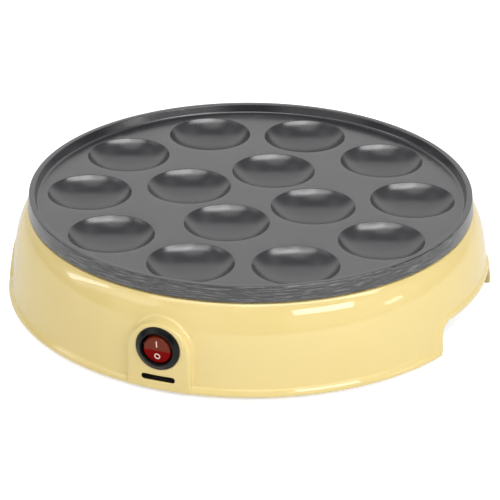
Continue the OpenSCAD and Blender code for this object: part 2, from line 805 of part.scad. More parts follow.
module switch_body() {
  color([0.06, 0.06, 0.07])
  difference() {
    union() {
      translate([0, 0, z_switch]) along_back(bezel_d, -face_y - bezel_t, -face_y);
      translate([0, 0, z_switch]) along_back(barrel_d, -face_y - 0.5, switch_back_y);
      for (s = [-1, 1])
        translate([-2, -panel_y, z_switch + s * barrel_d / 2]) rotate([0, 90, 0]) linear_extrude(4)
          polygon([[s * 0.5, 0], [-s * switch_wing, 0], [-s * switch_wing, 1], [s * 0.5, 7]]);
    }
    translate([0, 0, z_switch]) along_back(bore_d, -face_y - bezel_t - 1, switch_back_y - switch_wall);
    translate([0, pivot_y, z_switch]) along_x(pin_d + 2 * run_gap, 2 * barrel_d);
    for (dz = [tab_low, 0, tab_high])
      translate([-switch_tab.x / 2 - run_gap, switch_back_y - switch_wall - 1, z_switch + dz - switch_tab.y / 2 - run_gap])
        cube([switch_tab.x + 2 * run_gap, switch_wall + 2, switch_tab.y + 2 * run_gap]);
  }
}

module rocker() {
  color([0.62, 0.05, 0.05])
  at_pivot(rocker_tilt)
  difference() {
    union() {
      difference() {
        sphere(d = rocker_d);
        translate([0, -rocker_face - rocker_hollow_r, 0]) along_x(2 * rocker_hollow_r, 2 * rocker_d);
        translate([-rocker_d, rocker_face, -rocker_d]) cube(2 * rocker_d);
        along_back(pocket_d, lens_t - rocker_face, rocker_d);
      }
      along_back(stalk_d, lens_t - rocker_face - 0.5, stalk_l);
    }
    along_x(pin_d + 2 * run_gap, 2 * rocker_d);
    along_back(stalk_bore, pin_d / 2 + 0.8, stalk_l + 1);
  }
}

module rocker_pin() {
  color([0.75, 0.75, 0.77])
  at_pivot(0) along_x(pin_d, barrel_d - gap);
}

module plunger() {
  nose_r = stalk_bore / 2 - seat_gap;
  color([0.85, 0.85, 0.80])
  at_pivot(rocker_tilt) {
    along_back(2 * nose_r, stalk_l - 1.6, plunger_reach - nose_r);
    translate([0, plunger_reach - nose_r, 0]) sphere(r = nose_r);
  }
}

module plunger_spring() {
  coil_d = stalk_bore - 2 * seat_gap;
  from = pin_d / 2 + 0.8;
  to = stalk_l - 1.6;
  color([0.75, 0.75, 0.77])
  at_pivot(rocker_tilt)
  difference() {
    along_back(coil_d, from, to);
    along_back(coil_d - 0.8, from - 1, to + 1);
  }
}

module neon_lamp() {
  color([0.95, 0.55, 0.30])
  at_pivot(rocker_tilt)
  translate([0, lens_t - rocker_face + seat_gap + lamp_d / 2, pocket_d / 2 - lamp_d / 2 - 1]) along_x(lamp_d, lamp_l);
}

module contact_blade() {
  rivet_d = 2.4;
  rivet_t = 0.6;
  bead_t = blade_t + ball_gap;
  color([0.80, 0.68, 0.38])
  translate([0, blade_y, z_switch]) rotate([-blade_tilt, 0, 0]) {
    translate([-2, -blade_t / 2, -blade_half]) cube([4, blade_t, 2 * blade_half]);
    translate([0, 0, -blade_half + rivet_d / 2]) along_back(rivet_d, 0, blade_t / 2 + rivet_t);
    along_x(bead_t, 4);
  }
}

// Three tabs through the switch's back: the knife edge behind the blade, the fixed contact and the lamp's tab
module switch_terminals() {
  blade_swing = blade_half * sin(blade_tilt);
  starts = [blade_y + blade_t / 2 + ball_gap, blade_y + blade_swing + 1.4, switch_back_y - switch_wall - 0.6];
  lifts = [0, tab_low, tab_high];
  color([0.80, 0.68, 0.38])
  for (k = [0:2])
    translate([-switch_tab.x / 2, starts[k], z_switch + lifts[k] - switch_tab.y / 2])
      cube([switch_tab.x, switch_tab_end - starts[k], switch_tab.y]);
}

// Mains entry

module at_entry() {
  translate([0, 0, z_entry]) children();
}

module cord_gland() {
  color([0.08, 0.08, 0.09])
  at_entry()
  difference() {
    union() {
      along_back(gland_flange_d, face_y, face_y + bezel_t);
      along_back(gland_d, face_y - gland_back, face_y + 0.5);
    }
    along_back(lead_hole_d, face_y - gland_back - 1, face_y + bezel_t + 1);
  }
}

module gland_nut() {
  color([0.08, 0.08, 0.09])
  at_entry()
  difference() {
    along_back(nut_d, panel_y - nut_h, panel_y);
    along_back(gland_d + 2 * thread_gap, panel_y - nut_h - 1, panel_y + 1);
  }
}

module cord_clamp() {
  bar_x = clamp_post_x + clamp_post_d / 2;
  color([0.90, 0.90, 0.88])
  difference() {
    translate([-bar_x, clamp_y - clamp_l / 2, z_clamp]) cube([2 * bar_x, clamp_l, clamp_bar_h]);
    lead_hole();
    clamp_places() translate([0, 0, z_clamp - 1]) cylinder(d = small_screw_d + 2 * screw_gap, h = clamp_bar_h + 2);
  }
}

module clamp_screws() {
  color([0.75, 0.75, 0.77])
  clamp_places()
    translate([0, 0, z_clamp + clamp_bar_h]) mirror([0, 0, 1]) screw(small_screw_d, clamp_bar_h + 4);
}

module block_ways() {
  for (k = [-1, 0, 1])
    translate([k * block_pitch, block_y, 0]) children();
}

module terminal_block() {
  color([0.93, 0.92, 0.88])
  difference() {
    translate([-block.x / 2, block_front, z_deck]) cube(block);
    block_ways() translate([0, -block.y, z_block_bore]) rotate([-90, 0, 0]) cylinder(d = block_bore, h = 2 * block.y);
    block_ways() translate([0, 0, z_block_bore]) cylinder(d = small_screw_d + 2 * thread_gap, h = block.z);
    for (s = [-1, 1])
      translate([s * peg_x, block_y, z_deck - 1]) cylinder(d = peg_d + 2 * seat_gap, h = peg_h + 1.5);
  }
}

module terminal_screws() {
  length = z_deck + block.z - z_block_bore;
  color([0.80, 0.68, 0.38])
  block_ways() translate([0, 0, z_deck + block.z]) mirror([0, 0, 1]) screw(small_screw_d, length);
}

// Inside wires, each from one tab or block way to the next; the points between are chosen by hand
block_l = [block_pitch, block_front + wire_in, z_block_bore];
block_e = [0, block_front + wire_in, z_block_bore];
block_n = [-block_pitch, block_front + wire_in, z_block_bore];
pair = [wire_d / 2 + 0.1, 0, 0];
out_y = [0, -wire_in - 7, 0];
in_z = [0, 0, -6];
switch_in = [0, switch_tab_end, z_switch];
switch_out = [0, switch_tab_end, z_switch + tab_low];
switch_lamp = [0, switch_tab_end, z_switch + tab_high];
switch_way = [0, 7, 0];
sensor_l = [-sensor_tab_x, 0, z_sensor_low - sensor_tab.z];
sensor_r = [sensor_tab_x, 0, z_sensor_low - sensor_tab.z];
fuse_left = [-fuse_l / 2, fuse_y, z_fuse];
fuse_right = [fuse_l / 2, fuse_y, z_fuse];
pin_right = [element_r * cos(element_ends[0]), element_r * sin(element_ends[0]), z_blade_end];
pin_left = [element_r * cos(element_ends[1]), element_r * sin(element_ends[1]), z_blade_end];
lug_end = [0, earth_y - lug_d - lug_barrel, z_shield - shield_t - lug_t - wire_d / 2];

module live_wires() {
  color([0.45, 0.25, 0.15]) {
    wire([block_l, block_l + out_y, [24, 40, 11], [34, 0, 11], [30, -50, 12], [10, -82, 20],
      switch_in + switch_way, switch_in], wire_d);
    wire([switch_out, switch_out + switch_way, [-10, -74, 14], [-16, -40, 12], [-9, -12, 13],
      sensor_l + in_z, sensor_l], wire_d);
    wire([sensor_r, sensor_r + in_z, [2, 9, 14], [-12, 30, 17], [-21, 48, 27], fuse_left + [-6, 0, 0], fuse_left], wire_d);
    wire([fuse_right, fuse_right + [6, 0, 0], [26, 62, 22], [29, 58, 14], pin_right + in_z, pin_right], wire_d);
  }
}

module neutral_wires() {
  color([0.15, 0.25, 0.55]) {
    wire([block_n - pair, block_n - pair + out_y, [-17, 51, 11], [-25, 50, 12], pin_left + in_z, pin_left], wire_d);
    wire([block_n + pair, block_n + pair + out_y, [-14, 38, 10], [-36, 10, 11], [-38, -40, 14], [-18, -78, 25],
      switch_lamp + switch_way, switch_lamp], wire_d);
  }
}

module earth_wire() {
  color([0.35, 0.55, 0.20])
  wire([block_e, block_e + out_y, [0, 40, 13], [0, 26, 19], [0, 21, 28], lug_end + [0, -5, 0], lug_end], wire_d);
}

cooking_plate();
base_housing();
bottom_cover();
rubber_feet();
cover_screws();
plate_screws();
heating_element();
element_insulators();
element_pins();
element_clamps();
heat_shield();
shield_screws();
thermostat_cap();
thermostat_body();
thermostat_terminals();
thermostat_screws();
thermal_fuse();
fuse_clip();
fuse_screw();
switch_body();
rocker();
rocker_pin();
plunger();
plunger_spring();
contact_blade();
switch_terminals();
neon_lamp();
cord_gland();
gland_nut();
cord_clamp();
clamp_screws();
terminal_block();
terminal_screws();
live_wires();
neutral_wires();
earth_wire();
earth_lug();
earth_screw();
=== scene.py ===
# %% [markdown]
# A mini pancake maker, dressed
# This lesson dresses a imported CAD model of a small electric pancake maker: a dark plate with fourteen
# round hollows sits on a flared, butter yellow body with a round rocker switch at its front.
# The CAD model is the frame. Its pieces say where everything is, in metres, with +Z up and the switch
# towards -Y. A piece whose CAD shape already looks right only gets a finish. A piece whose real edges
# are soft is built again here in finer mesh code, in the very same place.

# %% Load the frame
import math
import bmesh
import bpy
import numpy as np
from mathutils import Matrix, Vector
from mathutils.geometry import delaunay_2d_cdt


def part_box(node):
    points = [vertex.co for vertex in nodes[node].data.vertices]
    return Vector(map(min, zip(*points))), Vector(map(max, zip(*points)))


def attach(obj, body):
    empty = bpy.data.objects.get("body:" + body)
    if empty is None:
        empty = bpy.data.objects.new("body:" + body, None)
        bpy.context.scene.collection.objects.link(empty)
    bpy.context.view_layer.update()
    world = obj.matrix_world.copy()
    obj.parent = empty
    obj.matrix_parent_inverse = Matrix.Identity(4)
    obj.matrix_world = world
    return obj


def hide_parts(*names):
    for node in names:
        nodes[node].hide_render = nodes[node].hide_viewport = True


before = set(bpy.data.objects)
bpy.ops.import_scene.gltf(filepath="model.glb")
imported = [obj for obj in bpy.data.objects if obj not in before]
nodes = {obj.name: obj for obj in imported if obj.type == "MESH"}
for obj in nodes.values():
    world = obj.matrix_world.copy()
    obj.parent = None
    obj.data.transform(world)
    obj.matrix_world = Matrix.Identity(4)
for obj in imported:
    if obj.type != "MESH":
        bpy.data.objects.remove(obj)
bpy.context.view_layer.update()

# %% [markdown]
# The camera
# The picture was taken with a long lens from the front right, looking down at about 25 degrees. A long
# lens keeps the circles nearly free of perspective, so a small change of distance hardly shows while a
# small change of angle does. The camera looks along the middle of the picture, a little below the plate's
# middle, and no lens shift is needed.

# %% Camera
focal_px = 2542.33
picture_px = 500.0
middle_px, middle_py = 250.67, 195.93
away = 1.3505
turn, tilt, roll = math.radians(20.5), math.radians(24.74), math.radians(-0.34)
plate_middle = Vector((0.0, 0.0, 0.0528))

back = Vector((math.sin(turn) * math.cos(tilt), -math.cos(turn) * math.cos(tilt), math.sin(tilt)))
level_right = Vector((math.cos(turn), math.sin(turn), 0.0))
level_up = back.cross(level_right)


def sight(px, py):
    """Direction from the camera through one pixel of the picture."""
    a = px - middle_px
    b = -(py - middle_py)
    u = math.cos(roll) * a + math.sin(roll) * b
    v = -math.sin(roll) * a + math.cos(roll) * b
    return (level_right * (u / focal_px) + level_up * (v / focal_px) - back).normalized()


half_px, sensor_mm = picture_px / 2, 36.0
look = sight(half_px, half_px)
cam_right = (sight(half_px + 100.0, half_px) - sight(half_px - 100.0, half_px)).normalized()
cam_back = -look
cam_right = (cam_right - cam_back * cam_right.dot(cam_back)).normalized()
cam_up = cam_back.cross(cam_right)
lens = bpy.data.cameras.new("camera")
lens.sensor_width = sensor_mm
lens.lens = sensor_mm * focal_px / picture_px
lens.clip_start = 0.05
lens.clip_end = 30.0
camera = bpy.data.objects.new("camera", lens)
bpy.context.collection.objects.link(camera)
place = Matrix((cam_right, cam_up, cam_back)).transposed().to_4x4()
place.translation = plate_middle + back * away
camera.matrix_world = place
bpy.context.scene.camera = camera
print("camera at", [round(v, 4) for v in place.translation], "lens", round(lens.lens, 1), "mm")

# %% [markdown]
# Effects that several finishes share
# Moulded plastic is never perfectly even: the tool leaves a very faint waviness, and handling leaves the
# gloss a little uneven. Cast and coated metal carries a fine grain. Turned and drawn metal carries fine
# lines. Each of these is built once as a node group that gives masks and heights, and each finish then
# uses it with its own scale. All of them read object coordinates, so they stay put on the piece.

# %% Helpers for node groups
def add(tree, kind, **settings):
    """A node of that kind with its settings."""
    node = tree.nodes.new(kind)
    for key, value in settings.items():
        setattr(node, key, value)
    return node


def feed(tree, value, socket):
    """Gives a socket a link, or a plain number or colour."""
    if isinstance(value, bpy.types.NodeSocket):
        tree.links.new(value, socket)
    else:
        socket.default_value = value


def new_group(name, inputs, outputs):
    """Empty shader group; returns it with its given values, its outputs and the object's coordinates."""
    group = bpy.data.node_groups.new(name, "ShaderNodeTree")
    for label, default in inputs.items():
        socket = group.interface.new_socket(label, in_out="INPUT", socket_type="NodeSocketFloat")
        socket.default_value = default
    for label in outputs:
        group.interface.new_socket(label, in_out="OUTPUT", socket_type="NodeSocketFloat")
    given, out = add(group, "NodeGroupInput").outputs, add(group, "NodeGroupOutput").inputs
    return group, given, out, add(group, "ShaderNodeTexCoord").outputs["Object"]


def give(group, out, **results):
    """Links results to the group's outputs by their names."""
    for label, result in results.items():
        group.links.new(result, out[label])


def calc(tree, operation, *values):
    """A Math node whose inputs are links or plain numbers; returns its output."""
    node = add(tree, "ShaderNodeMath", operation=operation)
    for value, socket in zip(values, node.inputs):
        feed(tree, value, socket)
    return node.outputs[0]


# %% Helpers for noise, ranges and colours
def noise(tree, spot, scale, detail, roughness):
    """Noise over coordinates; scale is a link or a number of cells per metre."""
    node = add(tree, "ShaderNodeTexNoise")
    given = {"Vector": spot, "Scale": scale, "Detail": detail, "Roughness": roughness}
    for label, value in given.items():
        feed(tree, value, node.inputs[label])
    return node.outputs["Fac"]


def level_lines(tree, spot, squash, scale, detail, roughness):
    """Noise that is drawn out sideways into level lines."""
    squeeze = add(tree, "ShaderNodeMapping")
    feed(tree, (squash, squash, 1.0), squeeze.inputs["Scale"])
    feed(tree, spot, squeeze.inputs["Vector"])
    return noise(tree, squeeze.outputs["Vector"], scale, detail, roughness)


def spread(tree, value, low, high, to_low=0.0, to_high=1.0):
    """Smoothly remaps a value from one range to another."""
    node = add(tree, "ShaderNodeMapRange", interpolation_type="SMOOTHSTEP")
    given = {"Value": value, "From Min": low, "From Max": high, "To Min": to_low, "To Max": to_high}
    for label, number in given.items():
        feed(tree, number, node.inputs[label])
    return node.outputs["Result"]


def mix(tree, factor, first, second):
    """A colour between two, each a link or a plain colour; returns its output."""
    node = add(tree, "ShaderNodeMix", data_type="RGBA")
    for number, value in ((0, factor), (6, first), (7, second)):
        feed(tree, value, node.inputs[number])
    return node.outputs[2]


# %% Group: moulded skin
def build_moulded_skin():
    """Faint tool waviness, fine pebble and uneven gloss of injection moulded plastic."""
    scales = {"Fine scale": 1800.0, "Broad scale": 28.0}
    group, given, out, spot = new_group("moulded_skin", scales, ("Height", "Shade", "Gloss"))
    fine = noise(group, spot, given["Fine scale"], 3.0, 0.55)
    broad = noise(group, spot, given["Broad scale"], 3.0, 0.5)
    handled = noise(group, spot, 60.0, 4.0, 0.6)
    height = calc(group, "ADD", calc(group, "MULTIPLY", fine, 0.3), calc(group, "MULTIPLY", broad, 0.7))
    give(group, out, Height=height, Shade=spread(group, broad, 0.3, 0.7),
         Gloss=spread(group, handled, 0.35, 0.7))
    return group


moulded_skin = build_moulded_skin()
print("group", moulded_skin.name)


# %% Group: fired grain
def build_fired_grain():
    """Grain and stray specks of a sprayed and fired coat, or of a cast or ceramic face."""
    scales = {"Grain scale": 900.0, "Speck scale": 420.0}
    group, given, out, spot = new_group("fired_grain", scales, ("Height", "Shade", "Speck"))
    grain = noise(group, spot, given["Grain scale"], 4.0, 0.65)
    cells = add(group, "ShaderNodeTexVoronoi", feature="F1")
    feed(group, spot, cells.inputs["Vector"])
    feed(group, given["Speck scale"], cells.inputs["Scale"])
    lottery = add(group, "ShaderNodeSeparateColor")
    feed(group, cells.outputs["Color"], lottery.inputs["Color"])
    chosen = calc(group, "GREATER_THAN", lottery.outputs["Red"], 0.9)
    speck = calc(group, "MULTIPLY", spread(group, cells.outputs["Distance"], 0.12, 0.3, 1.0, 0.0), chosen)
    patchy = noise(group, spot, 45.0, 4.0, 0.6)
    give(group, out, Height=grain, Shade=spread(group, patchy, 0.3, 0.7), Speck=speck)
    return group


fired_grain = build_fired_grain()
print("group", fired_grain.name)


# %% Group: drawn lines
def build_drawn_lines():
    """Fine lines along one direction, as rolling, drawing or turning leaves them in metal."""
    scales = {"Line scale": 1500.0, "Stain scale": 90.0}
    group, given, out, spot = new_group("drawn_lines", scales, ("Height", "Shade", "Stain"))
    lines = level_lines(group, spot, 0.06, given["Line scale"], 3.0, 0.6)
    stain = noise(group, spot, given["Stain scale"], 4.0, 0.6)
    give(group, out, Height=lines, Shade=spread(group, lines, 0.3, 0.7),
         Stain=spread(group, stain, 0.45, 0.75))
    return group


drawn_lines = build_drawn_lines()
print("group", drawn_lines.name)

# %% [markdown]
# The finishes
# Every finish is one Principled shader with one of the groups above behind its colour, roughness and
# bump. A finish that hardly varies on the real thing, such as the glossy body, keeps its two colours very
# close together. Numbers that are the same all over sit on the shader's own sockets.

# %% A finish from a group
finishes = {}


def srgb(red, green, blue):
    """Linear colour of an sRGB colour given in 0 to 255."""
    def linear(v):
        v = v / 255.0
        return v / 12.92 if v <= 0.04045 else ((v + 0.055) / 1.055) ** 2.4
    return (linear(red), linear(green), linear(blue), 1.0)


def finish(name, group, scales, colours, rough, bump=None, third=None, **constant):
    """Material whose two colours blend by the group's Shade, its roughness and third colour by its last mask.

    bump is (strength, depth) and third is (colour, amount)."""
    material = bpy.data.materials.new(name)
    material.use_nodes = True
    tree = material.node_tree
    sockets = tree.nodes["Principled BSDF"].inputs
    effect = add(tree, "ShaderNodeGroup", node_tree=group)
    for socket, scale in zip(effect.inputs, scales):
        socket.default_value = scale
    last = effect.outputs[2]
    colour = mix(tree, effect.outputs["Shade"], srgb(*colours[0]), srgb(*colours[1]))
    if third is not None:
        colour = mix(tree, calc(tree, "MULTIPLY", last, third[1]), colour, srgb(*third[0]))
    feed(tree, colour, sockets["Base Color"])
    feed(tree, spread(tree, last, 0.0, 1.0, *rough), sockets["Roughness"])
    if bump is not None:
        relief = add(tree, "ShaderNodeBump")
        for label, value in zip(("Strength", "Distance", "Height"), (*bump, effect.outputs["Height"])):
            feed(tree, value, relief.inputs[label])
        feed(tree, relief.outputs["Normal"], sockets["Normal"])
    for label, number in constant.items():
        sockets[label.replace("_", " ")].default_value = number
    finishes[name] = material


# %% Finishes of the outside
finish("butter_body", moulded_skin, (1800.0, 22.0), ((218, 197, 132), (221, 200, 136)), (0.05, 0.08),
       (0.015, 0.0004), IOR=1.5)
finish("plate_coating", fired_grain, (3200.0, 900.0), ((42, 42, 45), (49, 49, 52)), (0.22, 0.235),
       (0.05, 0.0004), ((90, 90, 92), 0.05), IOR=1.8)
finish("dark_cover", moulded_skin, (2600.0, 30.0), ((44, 43, 42), (52, 51, 50)), (0.45, 0.6), (0.15, 0.0004))
finish("foot_rubber", moulded_skin, (3000.0, 120.0), ((86, 86, 84), (100, 100, 97)), (0.7, 0.85),
       (0.2, 0.0004))
finish("black_switch", moulded_skin, (3200.0, 90.0), ((11, 11, 12), (16, 16, 18)), (0.24, 0.32),
       (0.06, 0.0003), IOR=1.3)
finish("red_lens", moulded_skin, (2400.0, 110.0), ((116, 2, 1), (128, 4, 2)), (0.16, 0.24),
       (0.02, 0.0003), IOR=1.12, Coat_Roughness=0.3, Coat_IOR=1.5)
finish("mark_white", moulded_skin, (4000.0, 200.0), ((226, 200, 188), (238, 214, 202)), (0.4, 0.55),
       (0.05, 0.0001))
print("outside finishes:", sorted(finishes))

# %% [markdown]
# Two finishes that change over the piece
# The red rocker is deep red below a line across its middle. Above that line its colour is mixed towards
# brown, a painted reflection of the haze that its face catches there. The plate's rim is painted darker than
# the floor, painted shade on its outer face, with fine pale lines where the coat has worn. Both could be
# painted on. Here a group makes a mask from the place on the piece. It reads object coordinates, so the
# painted haze turns with the rocker.

# %% The rocker's upper half, with a painted haze
def build_above_line():
    """Mask that is 1 above a line across a tilted face and 0 below it."""
    line = {"Pin y": -0.1261, "Pin z": 0.0257, "Tilt": 0.19}
    group, given, out, spot = new_group("above_line", line, ("Above",))
    place = add(group, "ShaderNodeSeparateXYZ")
    feed(group, spot, place.inputs["Vector"])
    ahead = calc(group, "SUBTRACT", place.outputs["Y"], given["Pin y"])
    above = calc(group, "SUBTRACT", place.outputs["Z"], given["Pin z"])
    height = calc(group, "SUBTRACT", above, calc(group, "MULTIPLY", ahead, given["Tilt"]))
    give(group, out, Above=spread(group, height, -0.0004, 0.0008))
    return group


above_line = build_above_line()
tree = finishes["red_lens"].node_tree
sockets = tree.nodes["Principled BSDF"].inputs
painted_haze_mask = add(tree, "ShaderNodeGroup", node_tree=above_line).outputs["Above"]
feed(tree, calc(tree, "MULTIPLY", painted_haze_mask, 0.4), sockets["Coat Weight"])
# Painted reflection: above the line the red is mixed towards brown, standing in for the haze the face catches
clear_red = sockets["Base Color"].links[0].from_socket
feed(tree, mix(tree, painted_haze_mask, clear_red, srgb(105, 34, 8)), sockets["Base Color"])
print("group", above_line.name)


# %% The lines and the painted shade on the plate's rim
def build_rim_streaks():
    """Fine level lines on faces further out than a radius, nothing elsewhere."""
    sizes = {"Radius": 0.1170, "Line scale": 2200.0}
    group, given, out, spot = new_group("rim_streaks", sizes, ("Streak", "Rim"))
    place = add(group, "ShaderNodeSeparateXYZ")
    feed(group, spot, place.inputs["Vector"])
    square = [calc(group, "MULTIPLY", place.outputs[axis], place.outputs[axis]) for axis in "XY"]
    radius = calc(group, "SQRT", calc(group, "ADD", *square))
    on_rim = calc(group, "GREATER_THAN", radius, given["Radius"])
    lines = spread(group, level_lines(group, spot, 0.05, given["Line scale"], 4.0, 0.7), 0.46, 0.68)
    give(group, out, Streak=calc(group, "MULTIPLY", lines, on_rim), Rim=on_rim)
    return group


rim_streaks = build_rim_streaks()
tree = finishes["plate_coating"].node_tree
sockets = tree.nodes["Principled BSDF"].inputs
masks = add(tree, "ShaderNodeGroup", node_tree=rim_streaks).outputs
colour = sockets["Base Color"].links[0].from_socket
# Painted shade: the rim is mixed towards near black where its outer face catches less light; the pale lines
# are wear
for mask, amount, tint in (("Rim", 0.85, srgb(14, 14, 16)), ("Streak", 0.62, srgb(124, 124, 127))):
    colour = mix(tree, calc(tree, "MULTIPLY", masks[mask], amount), colour, tint)
feed(tree, colour, sockets["Base Color"])
print("group", rim_streaks.name)

# %% Finishes of the inside
finish("steel", drawn_lines, (1500.0, 90.0), ((168, 168, 170), (196, 196, 198)), (0.25, 0.4),
       (0.1, 0.0002), Metallic=1.0)
finish("shield_metal", drawn_lines, (700.0, 60.0), ((176, 177, 178), (202, 203, 204)), (0.3, 0.5),
       (0.12, 0.0003), Metallic=1.0)
finish("brass", drawn_lines, (1800.0, 160.0), ((196, 158, 84), (214, 178, 104)), (0.25, 0.4),
       (0.1, 0.0002), ((150, 110, 60), 0.4), Metallic=1.0)
finish("heater_sheath", fired_grain, (1100.0, 500.0), ((70, 66, 62), (92, 86, 80)), (0.45, 0.6),
       (0.2, 0.0003), ((120, 92, 70), 0.5), Metallic=0.8)
finish("ceramic", fired_grain, (1400.0, 600.0), ((226, 220, 208), (236, 231, 220)), (0.5, 0.7),
       (0.12, 0.0003), ((196, 186, 170), 0.4))
finish("phenolic", moulded_skin, (2600.0, 140.0), ((62, 40, 28), (80, 52, 36)), (0.4, 0.55), (0.1, 0.0003))
finish("white_plastic", moulded_skin, (2600.0, 80.0), ((222, 220, 212), (234, 232, 226)), (0.35, 0.5),
       (0.08, 0.0003))
insulation = {"brown": ((92, 52, 28), (108, 62, 34)), "blue": ((34, 84, 158), (44, 98, 176)),
              "earth": ((96, 150, 48), (188, 182, 52))}
for wire, colours in insulation.items():
    finish(wire + "_wire", moulded_skin, (3000.0, 150.0), colours, (0.4, 0.55), (0.1, 0.0002))
finish("lamp_glass", moulded_skin, (3000.0, 150.0), ((238, 226, 216), (244, 236, 230)), (0.03, 0.08),
       IOR=1.47, Transmission_Weight=0.9)
print("all finishes:", len(finishes))

# %% [markdown]
# Tools for the meshes
# Working in millimetres keeps the numbers readable, so shapes are worked out in millimetres and turned
# into metres when the mesh is made. Round pieces are lathed from a half section. Surfaces with holes are
# filled by a constrained Delaunay triangulation, which keeps every hole's edge exactly where it is drawn.

# %% Mesh helpers
def piece(name, points, faces, material, body="base", sharp=40.0, weld=0.0004):
    """One mesh object from points in millimetres, welded, smooth shaded, with sharp edges by angle."""
    bm = bmesh.new()
    made = [bm.verts.new(Vector(p) * 0.001) for p in points]
    for face in faces:
        corners = [made[i] for i in face]
        if len(set(corners)) > 2:
            bm.faces.new(corners)
    bmesh.ops.remove_doubles(bm, verts=bm.verts, dist=weld * 0.001)
    bmesh.ops.dissolve_degenerate(bm, edges=bm.edges, dist=weld * 0.0005)
    bmesh.ops.recalc_face_normals(bm, faces=bm.faces)
    mesh = bpy.data.meshes.new(name)
    bm.to_mesh(mesh)
    open_edges = sum(1 for e in bm.edges if len(e.link_faces) != 2)
    bm.free()
    mesh.polygons.foreach_set("use_smooth", [True] * len(mesh.polygons))
    mesh.set_sharp_from_angle(angle=math.radians(sharp))
    mesh.materials.append(material)
    thing = bpy.data.objects.new(name, mesh)
    bpy.context.collection.objects.link(thing)
    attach(thing, body)
    print(name, len(mesh.polygons), "faces,", open_edges, "open edges")
    return thing


def arc(centre, radius, start, end, steps):
    """Points of an arc in a half section, angles in degrees."""
    angles = np.radians(np.linspace(start, end, steps + 1))
    return [(centre[0] + radius * math.cos(a), centre[1] + radius * math.sin(a)) for a in angles]


def lathe(section, sides, closed=True):
    """Points and faces of a half section (radius, height) turned about the z axis."""
    points, faces, rows = [], [], []
    for radius, height in section:
        if radius < 1e-6:
            rows.append([len(points)] * sides)
            points.append((0.0, 0.0, height))
            continue
        rows.append(list(range(len(points), len(points) + sides)))
        for k in range(sides):
            a = 2.0 * math.pi * k / sides
            points.append((radius * math.cos(a), radius * math.sin(a), height))
    pairs = list(zip(rows, rows[1:])) + ([(rows[-1], rows[0])] if closed else [])
    for low, high in pairs:
        for k in range(sides):
            n = (k + 1) % sides
            face = [low[k], low[n], high[n], high[k]]
            faces.append(list(dict.fromkeys(face)))
    return points, [f for f in faces if len(f) > 2]


def strip(rows, closed=False):
    """Faces between rows of equally many point numbers."""
    faces = []
    for low, high in zip(rows, rows[1:]):
        count = len(low)
        for k in range(count if closed else count - 1):
            n = (k + 1) % count
            faces.append((low[k], low[n], high[n], high[k]))
    return faces


# %% Filling an outline
def inside(points, loop):
    """Which of the points lie inside the closed loop, by counting crossings."""
    x, y = points[:, 0][:, None], points[:, 1][:, None]
    a = np.asarray(loop)
    b = np.roll(a, -1, axis=0)
    spans = (a[:, 1] > y) != (b[:, 1] > y)
    rise = np.where(b[:, 1] == a[:, 1], 1e-12, b[:, 1] - a[:, 1])
    cross = a[:, 0] + (y - a[:, 1]) * (b[:, 0] - a[:, 0]) / rise
    return (np.sum(spans & (x < cross), axis=1) % 2) == 1


def within(points, loops):
    """Which of the points lie inside the first loop and outside the others."""
    keep = inside(points, loops[0])
    for hole in loops[1:]:
        keep &= ~inside(points, hole)
    return keep


def fill(loop, holes=(), extra=(), clear=0.0):
    """Flat points and triangles inside a loop, less its holes, through the extra points that keep clear."""
    loops = [np.asarray(ring, float) for ring in (loop, *holes)]
    points = np.concatenate(loops)
    edges, first = [], 0
    for ring in loops:
        count = len(ring)
        edges += [(first + k, first + (k + 1) % count) for k in range(count)]
        first += count
    extra = np.asarray(extra, float).reshape(-1, 2)
    if len(extra):
        extra = extra[within(extra, loops)]
        gap = np.array([np.min(np.hypot(*(points - p).T)) for p in extra])
        points = np.concatenate([points, extra[gap > clear]])
    flat = [Vector((float(x), float(y))) for x, y in points]
    verts, _, faces, _, _, _ = delaunay_2d_cdt(flat, edges, [], 0, 1e-7)
    verts = np.array([(v.x, v.y) for v in verts])
    middles = np.array([verts[list(f)].mean(axis=0) for f in faces])
    return verts, [tuple(f) for f, k in zip(faces, within(middles, loops)) if k]


def circle(x, y, r, sides):
    """Closed loop of points round a middle."""
    angles = np.linspace(0, 2 * math.pi, sides, endpoint=False)
    return [(x + r * math.cos(a), y + r * math.sin(a)) for a in angles]


# %% [markdown]
# The body
# The body is one injection moulding in glossy butter yellow plastic: a wall that leans in as it rises, a
# rounded shoulder under the plate, a low lip with a sloped top round the foot, a raised door-shaped boss for
# the switch, finger cut-outs at both sides with a raised edge, and a round boss at the back for the lead.
# The wall's curve is the CAD's own Bezier curve. Half of the skin is spread flat as (angle, way along the
# section) and filled with triangles up to the edges of the boss and the cut-outs, then bent back into shape
# and mirrored. That gives a smooth wall and room for the small roundings that catch the light.

# %% The body's section
lip_r, foot_z, lip_z, top_z = 129.6, 2.4, 6.0, 49.0
wall_mm, inner_foot_r, foot_soft = 2.6, 125.3, 0.8
curve = np.array([(127.9, lip_z), (126.0, 22.0), (125.9, 40.6), (117.3, top_z)])


def wall_curve(t, inset=0.0):
    """Point of the wall's Bezier curve, moved inwards by the inset."""
    weights = np.array([(1 - t) ** 3, 3 * t * (1 - t) ** 2, 3 * t * t * (1 - t), t ** 3])
    slope = 3 * ((1 - t) ** 2 * (curve[1] - curve[0]) + 2 * t * (1 - t) * (curve[2] - curve[1])
                 + t * t * (curve[3] - curve[2]))
    normal = np.array([slope[1], -slope[0]]) / np.hypot(*slope)
    return weights @ curve - normal * inset


def next_centre(centre, radius, angle, next_radius):
    """Centre of an arc that goes on smoothly where another one ends; a hollow arc's radius is negative."""
    step, turned = radius - next_radius, math.radians(angle)
    return (centre[0] + step * math.cos(turned), centre[1] + step * math.sin(turned))


